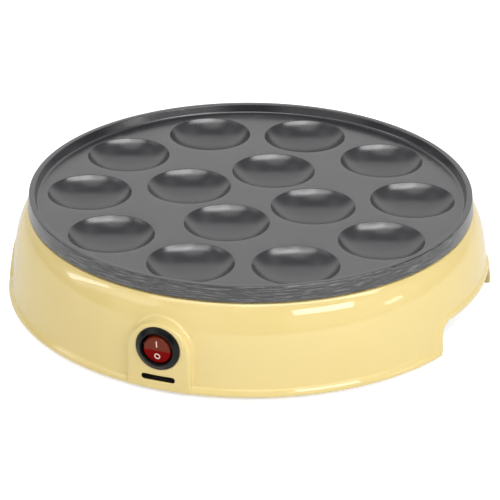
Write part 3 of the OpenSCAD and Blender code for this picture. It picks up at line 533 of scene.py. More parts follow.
# The lip's sloped top is a nearly flat arc between two small ones, and a hollow arc leads up to the wall
edge_r, slope_r, crest_r, flare_r = 0.9, 14.0, 0.8, 1.4
edge_turn, slope_turn, crest_turn, flare_turn = 26, 32.5, 60, 186.8
edge_at = (lip_r - edge_r, 4.0)
slope_at = next_centre(edge_at, edge_r, edge_turn, slope_r)
crest_at = next_centre(slope_at, slope_r, slope_turn, crest_r)
flare_at = next_centre(crest_at, crest_r, crest_turn, -flare_r)
foot_arc = arc((lip_r - foot_soft, foot_z + foot_soft), foot_soft, -90, 0, 5)
lip_arc = arc(edge_at, edge_r, 0, edge_turn, 3)[:-1] + arc(slope_at, slope_r, edge_turn, slope_turn, 6)[:-1]
lip_arc += arc(crest_at, crest_r, slope_turn, crest_turn, 3)
flare_arc = arc(flare_at, flare_r, 180 + crest_turn, flare_turn, 6)
shoulder_arc = arc((117.58, 47.99), 0.5, 52, 90, 3)
wall_line = [tuple(wall_curve(t)) for t in np.linspace(0.05, 0.975, 46)]
outer = foot_arc + lip_arc + flare_arc[1:] + wall_line + shoulder_arc
over_top = [(117.05, 48.5), (116.88, 48.6), (116.8, 48.85), (116.5, top_z), (114.3, top_z)]
over_top += [(113.95, 48.7), (113.9, 47.0)]
inner = [tuple(wall_curve(t, wall_mm)) for t in np.linspace(1.0, 0.0, 14)]
inner = [p for p in inner if p[1] < 46.8] + [(inner_foot_r, foot_z)]
section = np.array(outer + over_top + inner)
steps_mm = np.hypot(*np.diff(section, axis=0).T)
flat_v = np.concatenate([[0.0], np.cumsum(np.maximum(steps_mm, 0.7))])
outer_count = len(outer)
outer_part = slice(0, outer_count)
inner_start = outer_count + len(over_top)
print("section points", len(section), "outer height", section[outer_count - 1][1])


# %% From the flat sheet to the skin and back
def wall_radius(z):
    """Outer radius of the wall at a height."""
    return np.interp(z, section[outer_part, 1], section[outer_part, 0])


def outer_v(z):
    """Place of an outer height on the flat sheet."""
    return np.interp(z, section[outer_part, 1], flat_v[outer_part])


def inner_radius(z):
    """Inner radius of the wall at a height."""
    return np.interp(z, section[inner_start:, 1][::-1], section[inner_start:, 0][::-1])


def inner_v(z):
    """Place of an inner height on the flat sheet."""
    return np.interp(z, section[inner_start:, 1][::-1], flat_v[inner_start:][::-1])


def ease(value, low, high):
    """Smooth step from 0 at low to 1 at high."""
    t = np.clip((value - low) / (high - low), 0.0, 1.0)
    return t * t * (3 - 2 * t)


sheet_r = 127.0


def skin(u, v):
    """Point in space of a place on the flat sheet."""
    angle = u / sheet_r
    r = np.interp(v, flat_v, section[:, 0])
    z = np.interp(v, flat_v, section[:, 1])
    return (r * math.sin(angle), -r * math.cos(angle), float(z))


# %% The switch boss
boss_half, boss_z, crown_z, boss_face_r = 17.0, 25.7, 22.2, 130.0
seat_r_mm = 11.8
seat_y = math.sqrt(boss_face_r ** 2 - seat_r_mm ** 2) - 0.15


def face_depth(x, z):
    """Distance of the boss's round face from the plane through the axis, rolled in at its foot."""
    low = np.clip(np.round(foot_z + foot_soft - z, 4), 0.0, foot_soft)
    r = boss_face_r - (foot_soft - np.sqrt(np.maximum(foot_soft ** 2 - low * low, 0.0)))
    return np.sqrt(r * r - x * x)


def flat_seat(x, z):
    """Distance of the flat seats for the bezel and the gland."""
    return seat_y


foot_rows = [foot_z + foot_soft * (1 - math.cos(a)) for a in np.radians((0, 25, 45, 65, 90))]
lip_rows = [8.3, 7.7, 7.2, 6.8, 6.4, 6.0, 5.65, 5.3, 4.9, 4.5, 3.9]
side_z = {round(float(z), 4) for z in [*np.linspace(20.8, 9.2, 11), *lip_rows, *foot_rows]}
side_z = sorted(side_z, reverse=True)
boss_line = [((boss_half * math.sin(a), crown_z + boss_half * math.cos(a)), (math.sin(a), math.cos(a)))
             for a in np.radians(np.linspace(0, 90, 37))]
boss_line += [((boss_half, z), (1.0, 0.0)) for z in side_z]


def wall_depth(x, z):
    """Distance of the wall's surface from the plane through the axis, at x and z."""
    r = wall_radius(z)
    return math.sqrt(r * r - x * x)


def boss_rows(line, face, convex, concave):
    """Rows of points from the wall, up the boss's side and over its edge, for one half outline."""
    columns = []
    for (x0, z0), (nx, nz) in line:
        rise = float(face(x0, z0)) - wall_depth(x0, z0)
        top = min(convex[0] + convex[1] * (x0 / boss_half) ** 2, 0.55 * rise)
        root = min(concave, 0.4 * rise)
        column = []
        for a in np.radians(np.linspace(0, 90, 7)):
            e = root * (1 - math.sin(a))
            x, z = x0 + e * nx, max(z0 + e * nz, foot_z)
            column.append((x, wall_depth(x, z) + root * (1 - math.cos(a)), z))
        for a in np.radians(np.linspace(0, 90, 9)):
            e = top * (1 - math.cos(a))
            x, z = x0 - e * nx, z0 - e * nz
            column.append((x, float(face(x, z)) - top * (1 - math.sin(a)), z))
        columns.append(column)
    return columns


front = boss_rows(boss_line, face_depth, (1.0, 1.2), 2.0)
front_edge = [(math.asin(c[0][0] / wall_radius(c[0][2])) * sheet_r, float(outer_v(c[0][2]))) for c in front]
side_rise = float(face_depth(boss_half, 20.0)) - wall_depth(boss_half, 20.0)
print("boss rises", round(side_rise, 2), "mm at its side")

# %% The back boss for the lead
entry_z, entry_r = 16.4, 12.0
entry_line = [((entry_r * math.sin(a), entry_z + entry_r * math.cos(a)), (math.sin(a), math.cos(a)))
              for a in np.radians(np.linspace(0, 180, 49))]
rear = boss_rows(entry_line, flat_seat, (1.4, 0.0), 1.0)
rear_edge = []
for x, _, z in [column[0] for column in rear]:
    angle = math.pi - math.asin(max(x, 0.0) / wall_radius(z))
    rear_edge.append((angle * sheet_r, float(outer_v(z))))
print("back boss", 2 * entry_r, "mm wide, its middle at", entry_z)

# %% The side cut-outs
grip_half, grip_top, grip_round, grip_lean = 44.0, 18.8, 7.5, math.radians(8.0)
corner_z = grip_top - grip_round
side_top = corner_z + grip_round * math.sin(grip_lean)
corner_y = grip_half - (side_top - foot_z) * math.tan(grip_lean) - grip_round * math.cos(grip_lean)
grip_line = [((-grip_half + (z - foot_z) * math.tan(grip_lean), z), (-1.0, 0.0))
             for z in sorted(side_z) if z < side_top - 0.3]
for a in np.linspace(0.0, 1.0, 13):
    t = grip_lean + a * (math.pi / 2 - grip_lean)
    grip_line.append(((-corner_y - grip_round * math.cos(t), corner_z + grip_round * math.sin(t)),
                      (-math.cos(a * math.pi / 2), math.sin(a * math.pi / 2))))
corner_count = len(grip_line)
grip_line += [((y, grip_top), (0.0, 1.0)) for y in np.linspace(-corner_y, corner_y, 29)[1:-1]]
grip_line += [((-y, z), (-ny, nz)) for (y, z), (ny, nz) in reversed(grip_line[:corner_count])]
plain_wall = np.array([wall_curve(t)[::-1] for t in np.linspace(0.0, 0.6, 30)]).T


def bead_height(gap, z):
    """How proud of the skin the raised edge stands, at a distance from the cut-out and a height."""
    full = np.interp(z, (lip_z, 20.0), (1.7, 1.15))
    plain = np.interp(z, *plain_wall)
    rise = max(min(plain + full, lip_r) - float(wall_radius(z)), 0.0) if z > 4.7 else 0.0
    return rise * (1.0 - float(ease(gap, 2.5, 4.5)))


def grip_rows(line, edge=1.3, soft=0.4):
    """Rows of points from the skin, over the raised edge, through the wall to its inner face."""
    columns = []
    for (y0, z0), (ny, nz) in line:
        column = []
        for e in (5.2, 4.8, 4.5, 4.2, 3.9, 3.6, 3.3, 3.0, 2.75, 2.5, 2.1, 1.7):
            y, z = y0 + e * ny, z0 + e * nz
            r = wall_radius(z) + bead_height(e, z)
            column.append((math.sqrt(r * r - y * y), y, z))
        for a in np.radians(np.linspace(0, 90, 6)):
            e = edge * (1 - math.sin(a))
            y, z = y0 + e * ny, z0 + e * nz
            r = wall_radius(z) + bead_height(e, z) - edge * (1 - math.cos(a))
            column.append((math.sqrt(r * r - y * y), y, z))
        for a in np.radians(np.linspace(0, 90, 4)):
            e = soft * (1 - math.cos(a))
            y, z = y0 + e * ny, z0 + e * nz
            r = inner_radius(z) + soft * (1 - math.sin(a))
            column.append((math.sqrt(r * r - y * y), y, z))
        columns.append(column)
    return columns


grip = grip_rows(grip_line)


def sheet_u(x, y):
    """Place on the flat sheet of a direction round the axis."""
    return math.atan2(x, -y) * sheet_r


grip_outer = [(sheet_u(c[0][0], c[0][1]), float(outer_v(c[0][2]))) for c in grip]
grip_inner = [(sheet_u(c[-1][0], c[-1][1]), float(inner_v(c[-1][2]))) for c in grip]
print("cut-out", round(2 * grip_half), "mm wide, top at", grip_top)

# %% The hollows behind the two bosses
panel_y = seat_y - wall_mm
front_r, rear_r = boss_half - wall_mm, entry_r - wall_mm
crown_turn = np.radians(np.linspace(0, 90, 25))
front_hollow = [(front_r * math.sin(a), crown_z + front_r * math.cos(a)) for a in crown_turn]
front_hollow += [(front_r, z) for z in np.linspace(20.0, foot_z, 9)]
entry_turn = np.radians(np.linspace(0, 180, 37))
rear_hollow = [(abs(rear_r * math.sin(a)), entry_z - rear_r * math.cos(a)) for a in entry_turn]


def on_inner(x, z):
    """Distance of the wall's inner face from the plane through the axis."""
    return math.sqrt(float(inner_radius(z)) ** 2 - x * x)


front_inner = [(math.asin(x / inner_radius(z)) * sheet_r, float(inner_v(z))) for x, z in front_hollow]
rear_inner = [((math.pi - math.asin(x / inner_radius(z))) * sheet_r, float(inner_v(z)))
              for x, z in rear_hollow]
print("hollow behind the switch", round(panel_y - on_inner(0.0, boss_z), 2), "mm deep")

# %% The flat sheet of half the skin
v_end, u_end = float(flat_v[-1]), math.pi * sheet_r
step_u, fine_u, clear_v = 2.6, 62.0, 0.4


def run(start, end):
    """Evenly spaced numbers between two ends, without the ends."""
    count = max(int(abs(end - start) / step_u), 1)
    return [float(v) for v in np.linspace(start, end, count + 1)[1:-1]]


def level_edge(v, start, end):
    """Places along one level of the sheet, without the ends."""
    return [(u, v) for u in run(start, end)]


def upright_edge(u, low, high):
    """Places up the sheet at the section's own rows, clear of both ends."""
    return [(u, float(v)) for v in flat_v if low + clear_v < v < high - clear_v]


def notch(u, line):
    """A half outline whose two ends are put exactly on the sheet's upright edge."""
    return [(u, line[0][1])] + line[1:-1] + [(u, line[-1][1])]


u_front, u_grip = front_inner[-1][0], grip_inner[0][0]
sheet = [(u_front, v_end)] + level_edge(v_end, u_front, u_grip) + grip_inner
sheet += level_edge(v_end, grip_inner[-1][0], u_end) + [(u_end, v_end)]
sheet += upright_edge(u_end, rear_inner[0][1], v_end)[::-1] + notch(u_end, rear_inner)
sheet += upright_edge(u_end, rear_edge[0][1], rear_inner[-1][1])[::-1] + notch(u_end, rear_edge)
sheet += upright_edge(u_end, -1.0, rear_edge[-1][1])[::-1]
sheet += level_edge(0.0, u_end, grip_outer[-1][0]) + grip_outer[::-1]
sheet += level_edge(0.0, grip_outer[0][0], front_edge[-1][0]) + front_edge[::-1][:-1]
sheet += [(0.0, front_edge[0][1])] + upright_edge(0.0, front_edge[0][1], front_inner[0][1])
sheet += front_inner[:-1]
columns_u = list(np.arange(1.0, fine_u, 1.0))
columns_u += [u for u in np.arange(step_u / 2, u_end, step_u) if u > fine_u]
grid = [(u, float(v)) for u in columns_u for v in flat_v[1:-1]]
flat_points, flat_faces = fill(sheet, (), grid, 0.55)
print("skin sheet:", len(flat_points), "points,", len(flat_faces), "triangles")

# %% The boss's face with its switch hole and slot
slot_z, slot_half, slot_r, slot_soft, slot_back = 9.0, 7.4, 1.6, 0.2, 2.0
hole_r, seat_soft = 10.05, 0.25
face_outline = [(c[-1][0], c[-1][2]) for c in front]
foot_edge = [(x, foot_z) for x in np.linspace(face_outline[-1][0], 0.0, 12)[1:]]


def slot_loop(grow):
    """Half of the slot's outline, from its bottom middle round its end to its top middle."""
    r = slot_r + grow
    loop = [(x, slot_z - r) for x in np.linspace(0.0, slot_half, 8)[:-1]]
    loop += arc((slot_half, slot_z), r, -90, 90, 14)
    return loop + [(x, slot_z + r) for x in np.linspace(slot_half, 0.0, 8)[1:]]


def round_loop(r):
    """Half circle round the switch's middle."""
    return [(abs(x), z) for x, z in arc((0.0, boss_z), r, -90, 90, 40)]


face_loop = face_outline + foot_edge + [(0.0, z) for z in foot_rows[1:] + [4.4, 5.4, 6.3]]
face_loop += slot_loop(slot_soft) + [(0.0, 11.7), (0.0, 12.6)] + round_loop(seat_r_mm + seat_soft)
face_z = foot_rows[1:] + list(np.arange(4.4, 40.0, 1.3))
face_grid = [(x, z) for x in np.arange(1.2, 16.0, 1.2) for z in face_z]
face_points, face_tris = fill(face_loop, (), face_grid, 0.35)
print("boss face:", len(face_tris), "triangles")

# %% The body put together
points, faces = [], []


def put(new_points, new_faces):
    """Adds a patch to the piece that is being built."""
    first = len(points)
    points.extend(new_points)
    faces.extend([tuple(first + i for i in f) for f in new_faces])


def put_columns(columns):
    """Adds columns of points as a strip of quads."""
    count = len(columns[0])
    numbers = [[k * count + i for i in range(count)] for k in range(len(columns))]
    put([p for c in columns for p in c], strip(numbers))


def put_hole(loop, soft, steps):
    """Rolls a hole's edge inwards from the boss's face, then goes on by steps of (growth, depth)."""
    rows = []
    for a in np.radians((0, 30, 60, 90)):
        sink = soft * (1 - math.cos(a))
        rows.append([(x, -float(face_depth(x, z)) + sink, z) for x, z in loop(soft * (1 - math.sin(a)))])
    rows += [[(x, -depth, z) for x, z in loop(grow)] for grow, depth in steps]
    put_columns([list(c) for c in zip(*rows)])


put([skin(u, v) for u, v in flat_points], flat_faces)
put_columns([[(x, -d, z) for x, d, z in c] for c in front])
put_columns([[(x, d, z) for x, d, z in c] for c in rear])
put_columns(grip)
put([(x, -float(face_depth(x, z)), z) for x, z in face_points], face_tris)
put_hole(slot_loop, slot_soft, ((0.0, seat_y), (slot_back, seat_y), (slot_back, panel_y)))
seat_in = hole_r - seat_r_mm
put_hole(lambda grow: round_loop(seat_r_mm + grow), seat_soft,
         ((0.0, seat_y), (seat_in, seat_y), (seat_in, panel_y)))
put_columns([[(x, -on_inner(x, z), z), (x, -panel_y, z)] for x, z in front_hollow])
panel_foot = [(x, foot_z) for x in np.linspace(front_r, 0.0, 8)[1:]]
panel_points, panel_tris = fill(front_hollow + panel_foot + slot_loop(slot_back) + round_loop(hole_r))
put([(x, -panel_y, z) for x, z in panel_points], panel_tris)
print("body so far:", len(faces), "faces in its half")

# %% The back boss's face and the underside edge
lead_r = 6.6
lead_turn = np.radians(np.linspace(180, 0, 31))
lead_loop = [(abs(lead_r * math.sin(a)), entry_z + lead_r * math.cos(a)) for a in lead_turn]
back_points, back_tris = fill([(c[-1][0], c[-1][2]) for c in rear] + lead_loop)
put([(x, seat_y, z) for x, z in back_points], back_tris)
put_columns([[(x, seat_y, z), (x, panel_y, z)] for x, z in lead_loop])
put_columns([[(x, on_inner(x, z), z), (x, panel_y, z)] for x, z in rear_hollow])
ring_spots, ring_tris = fill(rear_hollow + lead_loop[::-1])
put([(x, panel_y, z) for x, z in ring_spots], ring_tris)


def foot_patch(outline):
    """Flat underside of the wall between its outer and inner foot."""
    spots, tris = fill(outline)
    put([(x, y, foot_z) for x, y in spots], tris)


front_foot = [(x, -float(face_depth(x, foot_z))) for x, _ in foot_edge[::-1]]
front_foot += [(p[0], -p[1]) for p in front[-1][::-1]]
front_foot += [skin(u, 0.0)[:2] for u in run(grip_outer[0][0], front_edge[-1][0])[::-1]]
front_foot += [p[:2] for p in grip[0]]
front_foot += [skin(u, v_end)[:2] for u in run(u_front, u_grip)[::-1] + [u_front]]
front_foot += [(front_r, -panel_y)] + [(x, -panel_y) for x, _ in panel_foot]
foot_patch(front_foot)
rear_foot = [p[:2] for p in grip[-1][::-1]]
rear_foot += [skin(u, 0.0)[:2] for u in run(u_end, grip_outer[-1][0])[::-1]]
rear_foot += [(0.0, skin(u_end, 0.0)[1]), (0.0, inner_foot_r)]
rear_foot += [skin(u, v_end)[:2] for u in run(grip_inner[-1][0], u_end)[::-1]]
foot_patch(rear_foot)

half = len(points)
points += [(-x, y, z) for x, y, z in points]
faces += [tuple(half + i for i in f[::-1]) for f in faces]
body = piece("body_shell", points, faces, finishes["butter_body"], sharp=50.0)
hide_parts("base_housing")

# %% [markdown]
# The plate
# The plate is cast aluminium with a dark non-stick coat: a flat floor with ten round hollows near the rim
# and four round the middle, and a low rounded rim that keeps the batter in. The floor is filled with
# triangles up to the hollows' edges. Each hollow is as wide and as deep as the CAD's, with a flatter dish
# and a steeper side. It starts with a small rounded edge, because that edge draws the dark line and the
# light border that make the hollows readable.

# %% The plate's sizes
floor_z, rim_z, under_z = 52.8, 57.7, 47.3
floor_r, rim_foot_r, rim_top_r, rim_w, rim_soft = 113.2, 118.0, 117.4, 3.2, 0.6
dent_r, dent_deep, edge_soft = 22.5, 9.0, 0.55
ball_r = (dent_r ** 2 + dent_deep ** 2) / (2 * dent_deep)
dish_r, dish_turn, knuckle_r, wall_turn = 48.0, math.radians(15.0), 17.4, math.radians(57.0)
dents = []
for count, ring_r in ((10, 85.8), (4, 35.2)):
    turns = [math.radians(360 // count * k - 90) for k in range(count)]
    dents += [(ring_r * math.cos(a), ring_r * math.sin(a)) for a in turns]
print("hollows:", len(dents), "ball radius", round(ball_r, 2), "mm")


# %% A hollow's half section
def hollow_section():
    """Half section of a hollow from the floor to its bottom: rounded edge, steep side, flat dish."""
    side_x = dent_r - knuckle_r * math.sin(wall_turn)
    knuckle_z = floor_z + knuckle_r * math.cos(wall_turn)
    edge_x = dent_r + edge_soft * math.tan(wall_turn / 2)
    rows = arc((edge_x, floor_z - edge_soft), edge_soft, 90.0, 90.0 + math.degrees(wall_turn), 7)
    first = math.asin((rows[-1][0] - side_x) / knuckle_r)
    for t in np.linspace(first, dish_turn, 10)[1:]:
        rows.append((side_x + knuckle_r * math.sin(t), knuckle_z - knuckle_r * math.cos(t)))
    dish_z = floor_z - dent_deep + dish_r
    for t in np.linspace(dish_turn, 0.0, 7)[1:]:
        rows.append((dish_r * math.sin(t), dish_z - dish_r * math.cos(t)))
    return rows


hollow = hollow_section()
print("hollow's edge starts at radius", round(hollow[0][0], 2), "mm")

# %% The plate's floor, hollows and rim
points, faces = [], []
hollow_sides, rim_sides = 72, 240


def put_turned(half_section, sides, places):
    """Adds one turned shape at each of the places."""
    shape, shape_faces = lathe(half_section, sides, closed=False)
    for x, y in places:
        put([(x + px, y + py, pz) for px, py, pz in shape], shape_faces)


rim = arc((floor_r - 1.18, floor_z + 1.5), 1.5, -90, -13.7, 6)
rim += arc((rim_top_r - rim_w + rim_soft, rim_z - rim_soft), rim_soft, 166.3, 90, 5)
rim += arc((rim_top_r - rim_soft, rim_z - rim_soft), rim_soft, 90, 4.8, 5)
rim += [(117.62, 54.5), (117.84, 52.0)] + arc((rim_foot_r - 0.9, 49.9), 0.9, 4.8, -90, 6)
rim += [(113.5, 49.0), (113.4, 47.5), (113.2, under_z)]
hollow_loops = [circle(x, y, hollow[0][0], hollow_sides) for x, y in dents]
grid_mm = np.arange(-112, 113, 6.0)
floor_grid = [(x, y) for x in grid_mm for y in grid_mm]
spots, tris = fill(circle(0.0, 0.0, rim[0][0], rim_sides), hollow_loops, floor_grid, 2.0)
put([(x, y, floor_z) for x, y in spots], tris)
put_turned(hollow, hollow_sides, dents)
put_turned(rim, rim_sides, [(0.0, 0.0)])
print("plate's top:", len(faces), "faces")

# %% The plate's underside
under_ball, under_sides = ball_r + 3.2, 48
ball_z = floor_z - dent_deep + ball_r
under_r = math.sqrt(under_ball ** 2 - (ball_z - under_z) ** 2)
under_loops = [circle(x, y, under_r, under_sides) for x, y in dents]
spots, tris = fill(circle(0.0, 0.0, rim[-1][0], rim_sides), under_loops)
put([(x, y, under_z) for x, y in spots], tris)
turns = np.linspace(math.asin(under_r / under_ball), 0.0, 8)
bulge = [(under_ball * math.sin(a), ball_z - under_ball * math.cos(a)) for a in turns]
put_turned(bulge, under_sides, dents)
plate = piece("plate_top", points, faces, finishes["plate_coating"], sharp=50.0)
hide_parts("cooking_plate")

# %% [markdown]
# The switch
# A round snap-in rocker switch: a satin black bezel stands 2.2 mm proud of the boss, and inside it sits a
# red rocker with one nearly flat face. At rest the lower half, marked O, is pressed in. The rocker's back
# is part of a ball round its pin, so that it turns freely in the bezel's bore. The marks are thin inlays
# that follow the face and ride on the rocker.

# %% The bezel
bezel_proud, bore_r, barrel_r, barrel_end = 2.2, 8.3, 9.9, -20.0
bezel = [(11.65, 0.0), (11.65, 0.5), (11.55, 0.75), (11.3, 0.95), (10.6, 1.3), (9.9, 1.72), (9.5, 2.0)]
bezel += [(9.25, 2.14), (9.0, bezel_proud), (8.8, 2.16), (8.66, 2.02), (8.56, 1.8), (8.4, 1.0)]
bezel += [(bore_r, 0.4), (bore_r, -3.0), (bore_r, barrel_end)]
bezel += [(barrel_r, barrel_end), (barrel_r, -0.4), (10.0, 0.0)]
ring_points, ring_faces = lathe(bezel, 96)
ring_points = [(x, -seat_y - h, boss_z + y) for x, y, h in ring_points]
switch = piece("switch_bezel", ring_points, ring_faces, finishes["black_switch"], sharp=38.0)
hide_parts("switch_body")

# %% The rocker's face and place
pin_sunk, rocker_ball = 3.2, 8.0
pin_y = pin_sunk - seat_y
face_out, lean, rocker_r, rocker_back = 4.6, 0.07, 7.2, -3.4
rest_turn, cap_sides = math.radians(11.0), 80


def rocker_face(z):
    """How far in front of the pin the rocker's face lies, at a height from the pin."""
    return face_out - lean * z


def rocker_place(x, d, z):
    """Point of the rocker at rest: d in front of the pin, z above it, turned with its top forward."""
    y = -d * math.cos(rest_turn) - z * math.sin(rest_turn)
    return (x, pin_y + y, boss_z + z * math.cos(rest_turn) - d * math.sin(rest_turn))


def face_row(r, sink):
    """A round row of the rocker's face, that far back from it."""
    return [rocker_place(x, rocker_face(z) - sink, z) for x, z in circle(0.0, 0.0, r, cap_sides)]


print("rocker turns about y", round(pin_y, 2), "z", boss_z)

# %% The rocker
cap_rows = [face_row(rocker_r - inset, 0.0) for inset in (6.6, 5.4, 4.2, 3.0, 1.8, 1.0, 0.6)]
cap_rows += [face_row(rocker_r - inset, sink) for inset, sink in ((0.42, 0.03), (0.2, 0.12), (0.05, 0.3))]
for back_d in (2.6, 1.6, 0.4, -1.0, -2.2, rocker_back):
    r = math.sqrt(rocker_ball ** 2 - back_d ** 2) - 0.02
    cap_rows.append([rocker_place(x, back_d, z) for x, z in circle(0.0, 0.0, r, cap_sides)])
cap_points = [p for row in cap_rows for p in row]
numbers = [[k * cap_sides + i for i in range(cap_sides)] for k in range(len(cap_rows))]
cap_faces = strip(numbers, closed=True)
for row, d in ((numbers[0], rocker_face(0.0)), (numbers[-1], rocker_back)):
    cap_faces += [(len(cap_points), row[i - 1], row[i]) for i in range(cap_sides)]
    cap_points.append(rocker_place(0.0, d, 0.0))
rocker = piece("rocker_cap", cap_points, cap_faces, finishes["red_lens"],
               body="rocker", sharp=45.0)
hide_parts("rocker")

# %% The rocker's marks
mark_sunk, mark_out, off_z, on_z = -0.1, 0.05, -3.2, 3.9


def drape(rows, name):
    """A thin inlay on the rocker's face from closed rows of (x, z), with a short skirt."""
    spots, found = [], []
    for lift, row in rows:
        found.append(list(range(len(spots), len(spots) + len(row))))
        spots += [rocker_place(x, rocker_face(z) + lift, z) for x, z in row]
    piece(name, spots, strip(found, closed=True), finishes["mark_white"],
          body="rocker", sharp=60.0, weld=0.0001)


def bar_row(half_w, half_h):
    """Rounded bar of the I mark."""
    turn_top = np.linspace(0, math.pi, 9)
    high = [(half_w * math.cos(a), on_z + half_h - half_w + half_w * math.sin(a)) for a in turn_top]
    low = [(-half_w * math.cos(a), on_z - half_h + half_w - half_w * math.sin(a)) for a in turn_top]
    return high + low


ring_steps = ((mark_sunk, 1.64), (mark_out, 1.6), (mark_out, 1.02), (mark_sunk, 0.98), (mark_sunk, 1.64))
drape([(lift, circle(0.0, off_z, r, 48)) for lift, r in ring_steps], "mark_off")
bar_steps = ((mark_sunk, 0.02, 1.2), (mark_sunk, 0.34, 1.82), (mark_out, 0.31, 1.8),
             (mark_out, 0.2, 1.5), (mark_out, 0.02, 1.2), (mark_sunk, 0.02, 1.2))
drape([(lift, bar_row(half_w, half_h)) for lift, half_w, half_h in bar_steps], "mark_on")

# %% [markdown]
# The small outside pieces
# A lead gland closes the hole at the back and four rubber feet lift the body off the table. Both are
# lathed with softened edges, since a hard edge on a small black part reads as a drawing, not as rubber.

# %% The lead gland
bush_r, gland_proud, gland_end = 3.6, 2.19, -14.0
gland = [(bush_r, 1.7), (4.1, gland_proud), (7.6, gland_proud)] + arc((8.2, 1.39), 0.8, 80, 0, 5)
gland += [(9.0, 0.0), (6.4, 0.0), (6.4, gland_end), (bush_r, gland_end)]
gland_points, gland_faces = lathe(gland, 72)
gland_points = [(x, seat_y + h, entry_z + y) for x, y, h in gland_points]
gland_faces = [f[::-1] for f in gland_faces]
lead_gland = piece("lead_gland", gland_points, gland_faces, finishes["black_switch"])
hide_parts("cord_gland")

# %% The feet
foot_low, foot_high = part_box("rubber_feet")
print("feet box", [round(v * 1000, 2) for v in foot_low], [round(v * 1000, 2) for v in foot_high])
foot_r = 6.0
foot_ring = (foot_high[0] * 1000 - foot_r) * math.sqrt(2.0)
foot = [(0.0, 0.5), (3.2, 0.35), (4.6, 0.05), (5.0, 0.0)] + arc((6.1, 0.7), 0.7, -90, 0, 5)
foot += [(6.8, 1.2), (6.6, 1.7), (6.1, 2.1), (5.95, 3.0), (foot_r, 5.2), (0.0, 5.2)]
foot_turns = np.radians((45, 135, 225, 315))
points, faces = [], []
put_turned(foot, 48, [(foot_ring * math.cos(a), foot_ring * math.sin(a)) for a in foot_turns])
feet = piece("soft_feet", points, faces, finishes["foot_rubber"])
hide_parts("rubber_feet")

# %% [markdown]
# The pieces that keep their CAD shape
# Screws, wires, the heating element, the shield and the parts inside the switch already have the right
# shape. Each keeps its mesh and gets its finish, by the material slot that the record names for it.

# %% Finishes on the CAD nodes
dressed_nodes = {}
for name, thing in nodes.items():
    for i, material in enumerate(thing.data.materials):
        key = material.name.split(".")[0] if material else ""
        if key in finishes:
            thing.data.materials[i] = finishes[key]
            dressed_nodes.setdefault(key, []).append(name)
print("nodes by finish:", {key: len(names) for key, names in dressed_nodes.items()})

# %% [markdown]
# The studio
# The picture has a white floor that runs up into a white background, and long soft lights at both sides in
# a room that is darker above. The glossy body and the coat on the plate mirror these lights, so their places
# matter: each bright streak says where a light is. Strips make the streaks on the shoulder and the lip,
# two long lights make the crescents in the hollows, and broad weak lamps fill the body's sides. The floor
# and the world show white to the camera, and to glass, and the floor still takes the object's faint shadow.
# Glossy pieces see the pale background too.

# %% Floor and background
def white_floor():
    """Pale floor that the camera sees as white where no shadow falls."""
    material = bpy.data.materials.new("studio_floor")
    material.use_nodes = True
    tree = material.node_tree
    sockets = tree.nodes["Principled BSDF"].inputs
    effect = add(tree, "ShaderNodeGroup", node_tree=moulded_skin)
    effect.inputs["Broad scale"].default_value = 3.0
    greys = [(grey, grey, grey, 1.0) for grey in (0.86, 0.88)]
    feed(tree, mix(tree, effect.outputs["Shade"], *greys), sockets["Base Color"])
    sockets["Roughness"].default_value = 0.9
    sockets["Emission Color"].default_value = (1.0, 1.0, 1.0, 1.0)
    seen_by = add(tree, "ShaderNodeLightPath").outputs
    direct = calc(tree, "MAXIMUM", seen_by["Is Camera Ray"], seen_by["Is Transmission Ray"])
    mirrored = calc(tree, "MULTIPLY", seen_by["Is Glossy Ray"], 0.1)
    lift = calc(tree, "ADD", calc(tree, "MULTIPLY", direct, 0.6), mirrored)
    feed(tree, lift, sockets["Emission Strength"])
    return material


half_floor = 6.0
corners = [(-1, -1), (1, -1), (1, 1), (-1, 1)]
floor_mesh = bpy.data.meshes.new("floor")
floor_mesh.from_pydata([(x * half_floor, y * half_floor, 0.0) for x, y in corners], [], [(0, 1, 2, 3)])
floor = bpy.data.objects.new("floor", floor_mesh)
floor_mesh.materials.append(white_floor())
bpy.context.collection.objects.link(floor)
print("floor", 2 * half_floor, "m wide")


# %% Lamps
def camera_turned(x, y, z):
    """Direction in the room of one given from the camera's side: x right, -y towards the camera."""
    c, s = math.cos(turn), math.sin(turn)
    return Vector((x * c - y * s, x * s + y * c, z)).normalized()


def from_side(azimuth, elevation):
    """Direction from an angle round the object, counted from the camera's side, and one above the table."""
    az, el = math.radians(azimuth), math.radians(elevation)
    return camera_turned(math.sin(az) * math.cos(el), -math.cos(az) * math.cos(el), math.sin(el))


def softbox(name, start, end, thick, level, distance=1.2):
    """Long lamp that faces the object, from one direction to another; level 1 is as bright as white."""
    one, two = from_side(*start), from_side(*end)
    aim = (one + two).normalized()
    along_lamp = (two - one - aim * (two - one).dot(aim)).normalized()
    data = bpy.data.lights.new(name, "AREA")
    data.shape = "RECTANGLE"
    data.size = 2.0 * distance * math.tan(one.angle(two) / 2.0)
    data.size_y = 2.0 * distance * math.tan(math.radians(thick) / 2.0)
    data.energy = level * math.pi * data.size * data.size_y
    lamp = bpy.data.objects.new(name, data)
    turned = Matrix((along_lamp, aim.cross(along_lamp), aim)).transposed().to_4x4()
    turned.translation = aim * distance + Vector((0.0, 0.0, 0.04))
    lamp.matrix_world = turned
    bpy.context.collection.objects.link(lamp)
    print(name, "size", round(data.size, 2), round(data.size_y, 2), "m,", round(data.energy, 2), "W")


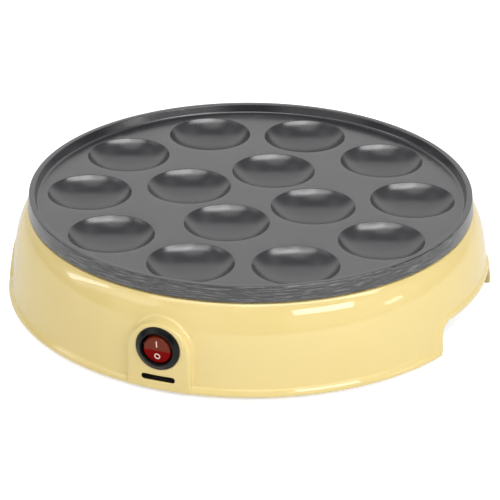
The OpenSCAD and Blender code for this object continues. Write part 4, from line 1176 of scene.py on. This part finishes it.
softbox("left_strip", (-93, 12), (-74, 30), 6, 5.0)
softbox("left_top", (-56, 41), (-9, 55), 13, 3.1)
softbox("right_light", (-9, 53), (72, 37), 13, 5.8)
softbox("side_fill", (15, 15), (85, 12), 30, 0.6)
softbox("left_fill", (-66, 12), (-14, 15), 30, 0.5)
softbox("side_strip", (20.5, 28), (50, 25), 11, 9.5)
softbox("side_patch", (63, 8.5), (72.5, 10), 5, 5.0)

# %% World
world = bpy.data.worlds.new("studio")
bpy.context.scene.world = world
world.use_nodes = True
tree = world.node_tree
surface = tree.nodes["Background"].inputs
ray = add(tree, "ShaderNodeLightPath").outputs
facing = add(tree, "ShaderNodeTexCoord").outputs["Generated"]
straight_back = camera_turned(0.0, 1.0, 0.2)
spot_edge, spot_core = math.cos(math.radians(12)), math.cos(math.radians(4))


def towards(direction, low, high, level):
    """Glow of the room round one direction, from nothing at low to its level at high (cosines)."""
    lit = add(tree, "ShaderNodeVectorMath", operation="DOT_PRODUCT")
    feed(tree, facing, lit.inputs[0])
    feed(tree, direction, lit.inputs[1])
    return spread(tree, lit.outputs["Value"], low, high, 0.0, level)


level = towards(straight_back, 0.45, 0.8, 0.85)
more = [(Vector((0.0, 0.0, 1.0)), 0.6, 0.9, 0.3), (from_side(-10, 62), 0.88, 0.98, 0.8)]
more += [(camera_turned(side, 0.45, 0.7), 0.78, 0.94, 0.3) for side in (-1.0, 1.0)]
for glow in more:
    level = calc(tree, "ADD", level, towards(*glow))
for spot in ((-92, 17), (-82, 24), (-73, 28), (-64, 30), (-55, 30)):
    level = calc(tree, "MAXIMUM", level, towards(from_side(*spot), spot_edge, spot_core, 1.9))
behind = calc(tree, "MULTIPLY", towards(straight_back, 0.45, 0.8, 1.0), ray["Is Glossy Ray"])
level = calc(tree, "MAXIMUM", level, behind)
shown = calc(tree, "MAXIMUM", ray["Is Camera Ray"], ray["Is Transmission Ray"])
feed(tree, calc(tree, "MAXIMUM", shown, level), surface["Strength"])
feed(tree, (1.0, 1.0, 1.0, 1.0), surface["Color"])
bpy.context.scene.view_settings.view_transform = "Standard"
print("world nodes:", len(tree.nodes))
